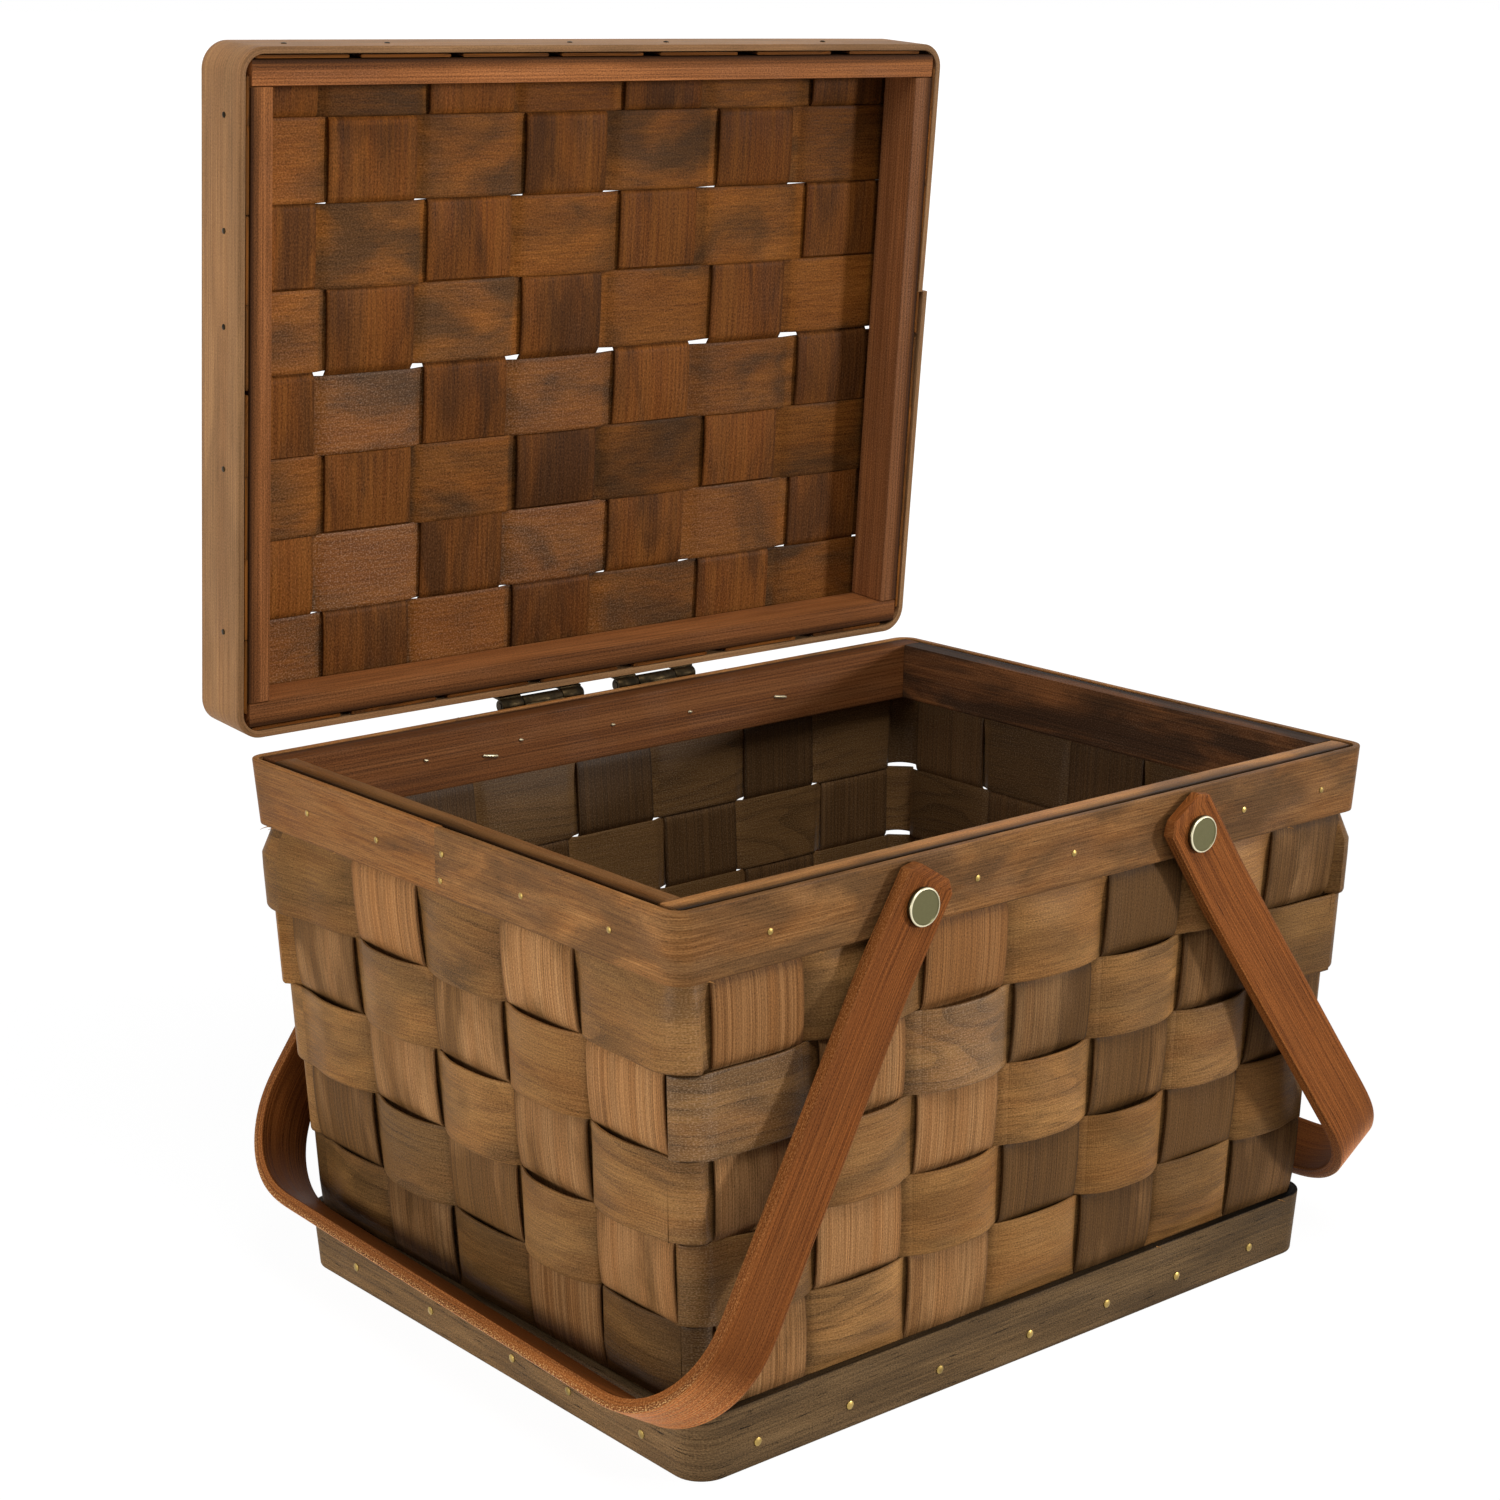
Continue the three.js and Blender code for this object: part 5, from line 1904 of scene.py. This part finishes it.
@dataclass
class Handles:
    """Two loops of bentwood on capped rivets."""

    draw: np.random.Generator
    body: BasketBody
    width: float = 21.0
    thickness: float = 4.4
    reach: float = 166.8
    skew: float = 0.017
    tail: float = 10.9
    chamfer: float = 3.4
    bend: float = 34.0
    straight: float = 24.0
    flare: float = math.radians(4.0)
    gap: float = 0.5
    pivot_x: float = 61.0
    pivot_z: float = 168.0
    rim_half: float = 115.0
    # Angles by which the left loop, -1, and the right one, 1, have sprung open, and how light they are.
    springs: dict[int, float] = field(default_factory=lambda: {-1: math.radians(0.1), 1: math.radians(1.9)})
    lightness: dict[int, float] = field(default_factory=lambda: {-1: 1.0, 1: 1.1})
    # Tones of the bight's outer face, inner face and narrow edges: painted light and shade; its glints paint
    # the outer face paler.
    low_tones: Triple = (2.6, -0.42, 0.1)
    low_sheen: float = 2.3
    low_start: float = 0.2
    low_span: float = 0.6
    edge_sheen: float = 0.4
    edge_round: float = 0.9
    edge_wear: float = 1.6
    end_ease: float = 0.8
    # The rims of the rivet caps get a painted highlight.
    cap_sheen: float = 0.85
    cap_radius: float = 6.1
    cap_height: float = 1.7

    def __post_init__(self) -> None:
        """Works out how far from the middle the legs stand."""
        self.arm = self.rim_half + self.gap + self.thickness / 2

    def hang(self, side: int) -> float:
        """Works out the angle at which a loop hangs: its solid's rest on the foot band, plus its spring.

        Args:
            side: -1 for the left handle and 1 for the right one, which has sprung open farther.

        Returns:
            Angle from straight down.
        """
        inner = self.reach - self.thickness / 2
        corner = math.hypot(inner, self.width / 2)
        foot = float(self.body.wall.half(0, self.body.base_band[0]))
        stop = foot + self.body.seat + self.body.base_band[1] + self.gap
        rest = math.atan2(self.width / 2, inner) + math.asin((stop - self.pivot_x) / corner)
        return rest + self.springs[side]

    def line(self) -> tuple[Array, Array]:
        """Draws the middle line of a loop: leg, flare, bend, bight, and the same back.

        Corners of the drawn line are smoothed by averaging neighbours, the bends are arcs.

        Returns:
            Points (reach, breadth) evenly spaced, and the direction of travel at each.
        """
        wide = self.arm + math.tan(self.flare) * (self.reach - self.straight)
        cut = self.bend * math.tan((math.pi / 2 + self.flare) / 2)
        centre = np.array([self.reach - self.bend, wide - cut])
        start = math.pi / 2 - self.flare
        turn = np.linspace(start, 0.0, 24)
        arc = centre + self.bend * np.stack([np.cos(turn), np.sin(turn)], axis=1)
        leg = np.array([[-self.tail, self.arm], [self.straight, self.arm]])
        half = np.concatenate([leg, arc])
        drawn = np.concatenate([half, half[::-1] * [1.0, -1.0]])
        lengths = run_lengths(drawn)
        even = np.linspace(0.0, lengths[-1], 341)
        points = np.stack([np.interp(even, lengths, drawn[:, k]) for k in range(2)], axis=1)
        window = 9
        ends = np.concatenate([
            points[:1] + (points[:1] - points[window // 2:0:-1]),
            points,
            points[-1:] + (points[-1:] - points[-2:-2 - window // 2:-1]),
        ])
        kernel = np.ones(window) / window
        eased = np.stack([np.convolve(ends[:, k], kernel, "valid") for k in range(2)], axis=1)
        heading = np.gradient(eased, axis=0)
        return eased, heading / np.linalg.norm(heading, axis=1)[:, None]

    def loop(self, side: int) -> Surface:
        """Sweeps a flat strip along the loop and hangs it from its pivots.

        The loop is a little skewed, so that its front hangs lowest: reach times 1 less skew times the share
        of the breadth. Its edges are a little worn, and glossier with painted glints. Towards the bight the
        outer face is much paler, with glints of the glint colour, the narrow edges are a little paler and
        the
        inner face is darker: all painted light and shade.

        Args:
            side: -1 for the left handle and 1 for the right one.

        Returns:
            The skin.
        """
        points, heading = self.line()
        lengths = run_lengths(points)
        from_end = np.minimum(lengths, lengths[-1] - lengths)
        ease = np.clip(1.0 - from_end / self.chamfer, 0.0, 1.0)
        width = self.width - 2 * self.chamfer * ease
        thin = self.thickness - self.end_ease * np.clip(1.0 - from_end / self.end_ease, 0.0, 1.0)
        across, out, edge = Strip(self.edge_round, self.edge_wear).outline(width, thin)
        normal = np.stack([-heading[:, 1], heading[:, 0]], axis=1)
        reach = points[:, :1] + normal[:, :1] * out
        breadth = points[:, 1:] + normal[:, 1:] * out
        reach = reach * (1.0 - self.skew * breadth / self.arm)
        local = np.stack([across, breadth, -reach], axis=-1)
        # Painted light on the bight's outer face and painted shade on its inner face.
        low = smooth((np.abs(heading[:, 1:]) - self.low_start) / self.low_span)
        outer, inner, narrow = self.low_tones
        tone = low * np.where(edge > 0.9, narrow, np.where(out > 0, outer, inner))
        tone = (1.0 + tone) * self.lightness[side] - 1.0
        sheen = self.edge_sheen * edge ** 2 + self.low_sheen * low * (out > 0)
        skin = swept(local, across, tone, 0.1 * edge, self.draw, sheen=sheen)
        turn = rotation(1, -side * self.hang(side))
        return skin.moved(turn, np.array([side * self.pivot_x, 0.0, self.pivot_z]))

    def rivet(self, side: int, face: int) -> Surface:
        """Turns a rivet: tip, shank, and a flat cap with a raised rim.

        Args:
            side: -1 for the left handle and 1 for the right one.
            face: -1 for the front and 1 for the back.

        Returns:
            The skin.
        """
        seat = self.arm + self.thickness / 2 + 0.15
        rail = float(self.body.wall.half(1, self.pivot_z)) - self.body.seat - self.body.rim_rail[1]
        cap, top = self.cap_radius, seat + self.cap_height
        radii = [0.2, 1.5, 1.5, cap - 0.1, cap, cap, cap - 0.2, cap - 0.5, cap - 0.7, cap - 0.9, 2.0, 0.2]
        heights = [
            rail + 0.2, rail + 0.6, seat, seat, seat + 0.25, top - 0.5, top - 0.12, top,
            top - 0.12, top - 0.34, top - 0.34, top - 0.34,
        ]
        place = np.array([side * self.pivot_x, 0.0, self.pivot_z])
        turned = revolved(radii, heights, 48)
        # Painted highlight on the cap's rim.
        rim = np.isin(np.arange(len(radii)), (6, 7))
        turned = replace(turned, sheen=turned.sheen + self.cap_sheen * rim[:, None])
        return turned.moved(facing([0.0, float(face), 0.0]), place)

    def dress(self) -> None:
        """Builds both loops and the four rivets."""
        wood, brass = HANDLE_WOOD.material(), PALE_BRASS.material()
        for label, side, body in (("left", -1, Body.LEFT_HANDLE), ("right", 1, Body.RIGHT_HANDLE)):
            node = f"handle_{label}"
            make_piece(f"{node}.wood", [self.loop(side)], wood, body, [node])
            for name, face in (("front", -1), ("back", 1)):
                node = f"rivet_{name}_{label}"
                skin = self.rivet(side, face)
                make_piece(f"{node}.brass", [skin], brass, Body.BASKET, [node])


@dataclass
class Studio:
    """Floor, soft light and the camera of the photograph."""

    camera_place: Triple = (-637.63, -730.35, 428.8)
    camera_ahead: Triple = (0.62184, 0.74329, -0.24665)
    focal_share: float = 2976.36 / 1500.0
    sensor: float = 36.0
    floor_half: float = 60.0
    floor_glow: float = 0.86
    floor_white: float = 1.12
    floor_fade: Pair = (0.45, 1.4)
    floor_grey: Colour = (0.55, 0.55, 0.55)
    room_light: float = 0.21
    # Name, place and size of each lamp in metres, and its power in watts.
    lamps: tuple[tuple[str, Triple, float, float], ...] = (
        ("front_right_lamp", (1.9, -2.4, 0.6), 0.32, 49.0),
        ("left_lamp", (-2.7, 0.1, 0.4), 0.9, 40.0),
        ("top_lamp", (-0.3, -0.9, 1.9), 1.0, 21.0),
    )
    lamp_aim: Triple = (0.0, 0.0, 0.15)

    def camera(self) -> None:
        """Sets up the camera that was fitted to the photograph."""
        data = bpy.data.cameras.new("photo_camera")
        data.sensor_width = self.sensor
        data.lens = self.sensor * self.focal_share
        data.clip_end = 200.0
        camera = bpy.data.objects.new("photo_camera", data)
        camera.location = Vector(self.camera_place) * METRE + Vector(BASKET_MIDDLE)
        camera.rotation_euler = Vector(self.camera_ahead).to_track_quat("-Z", "Y").to_euler()
        bpy.context.scene.collection.objects.link(camera)
        bpy.context.scene.camera = camera

    def seen(self, shader: Shader) -> Flow:
        """Picks the rays that show the background: from the camera, in gloss and through glass.

        Args:
            shader: Nodes to add to.

        Returns:
            A flow that is 1 for those rays and 0 for others.
        """
        names = ("Is Camera Ray", "Is Glossy Ray", "Is Transmission Ray")
        camera, glossy, through = (shader.node("ShaderNodeLightPath", output=name) for name in names)
        return camera.greater(glossy).greater(through)

    def floor(self) -> None:
        """Lays a pale floor that shows white, keeps a soft shadow near the basket and glows farther off."""
        half = self.floor_half
        mesh = bpy.data.meshes.new("floor")
        corners = [(-half, -half, 0.0), (half, -half, 0.0), (half, half, 0.0), (-half, half, 0.0)]
        mesh.from_pydata(corners, [], [(0, 1, 2, 3)])
        floor = bpy.data.objects.new("floor", mesh)
        bpy.context.scene.collection.objects.link(floor)
        shader = Shader(bpy.data.materials.new("pale_floor"))
        matt = shader.node("ShaderNodeBsdfDiffuse", {}, {"Color": (*self.floor_grey, 1.0)})
        glow = shader.node("ShaderNodeEmission", {}, {"Color": WHITE, "Strength": self.floor_white})
        place = shader.node("ShaderNodeTexCoord", {}, {}, "Object")
        away = shader.node("ShaderNodeVectorMath", {"operation": "LENGTH"}, {0: place}, "Value")
        glowing = self.floor_glow + shader.ranged(away, *self.floor_fade) * (1.0 - self.floor_glow)
        mixed = shader.node("ShaderNodeMixShader", {}, {0: self.seen(shader) * glowing, 1: matt, 2: glow})
        shader.add("ShaderNodeOutputMaterial", {}, {"Surface": mixed})
        mesh.materials.append(shader.owner)

    def world(self) -> None:
        """Fills the room with soft light and a white background."""
        world = bpy.data.worlds.new("soft_room")
        bpy.context.scene.world = world
        shader = Shader(world)
        strength = self.seen(shader) * (1.0 - self.room_light) + self.room_light
        back = shader.node("ShaderNodeBackground", {}, {"Color": WHITE, "Strength": strength})
        shader.add("ShaderNodeOutputWorld", {}, {"Surface": back})

    def lamp(self, name: str, place: Sequence[float], size: float, power: float) -> None:
        """Hangs a square soft lamp that faces the basket.

        Args:
            name: Name of the lamp.
            place: Its place in metres.
            size: Length of its sides in metres.
            power: Its power in watts.
        """
        data = bpy.data.lights.new(name, "AREA")
        data.size = size
        data.energy = power
        lamp = bpy.data.objects.new(name, data)
        lamp.location = place
        aim = Vector(self.lamp_aim) - Vector(place)
        lamp.rotation_euler = aim.to_track_quat("-Z", "Y").to_euler()
        bpy.context.scene.collection.objects.link(lamp)

    def build(self) -> None:
        """Sets up camera, floor, room light and lamps."""
        bpy.context.scene.view_settings.view_transform = "Standard"
        self.camera()
        self.floor()
        self.world()
        for lamp in self.lamps:
            self.lamp(*lamp)


def main() -> None:
    """Builds the studio and every sub-assembly in order."""
    logging.basicConfig(level=logging.INFO, format="%(message)s")
    Studio().build()
    wall = Wall(floor_half=np.array([133.2, 103.7]), rim_half=np.array([146.9, 111.9]), height=182.0)
    body = BasketBody(
        wall=wall, corner=7.0, level=3.5, bend=4.0, top=178.8, lift=0.75, thickness=1.0,
        draw=np.random.default_rng(41), inner_stain=2.6, inner_sheen=0.3,
    )
    BasketDresser(body).dress()
    lid = Lid(np.random.default_rng(17))
    lid.dress()
    Hinges(lid).dress()
    Handles(np.random.default_rng(23), body).dress()


if __name__ == "__main__":
    main()
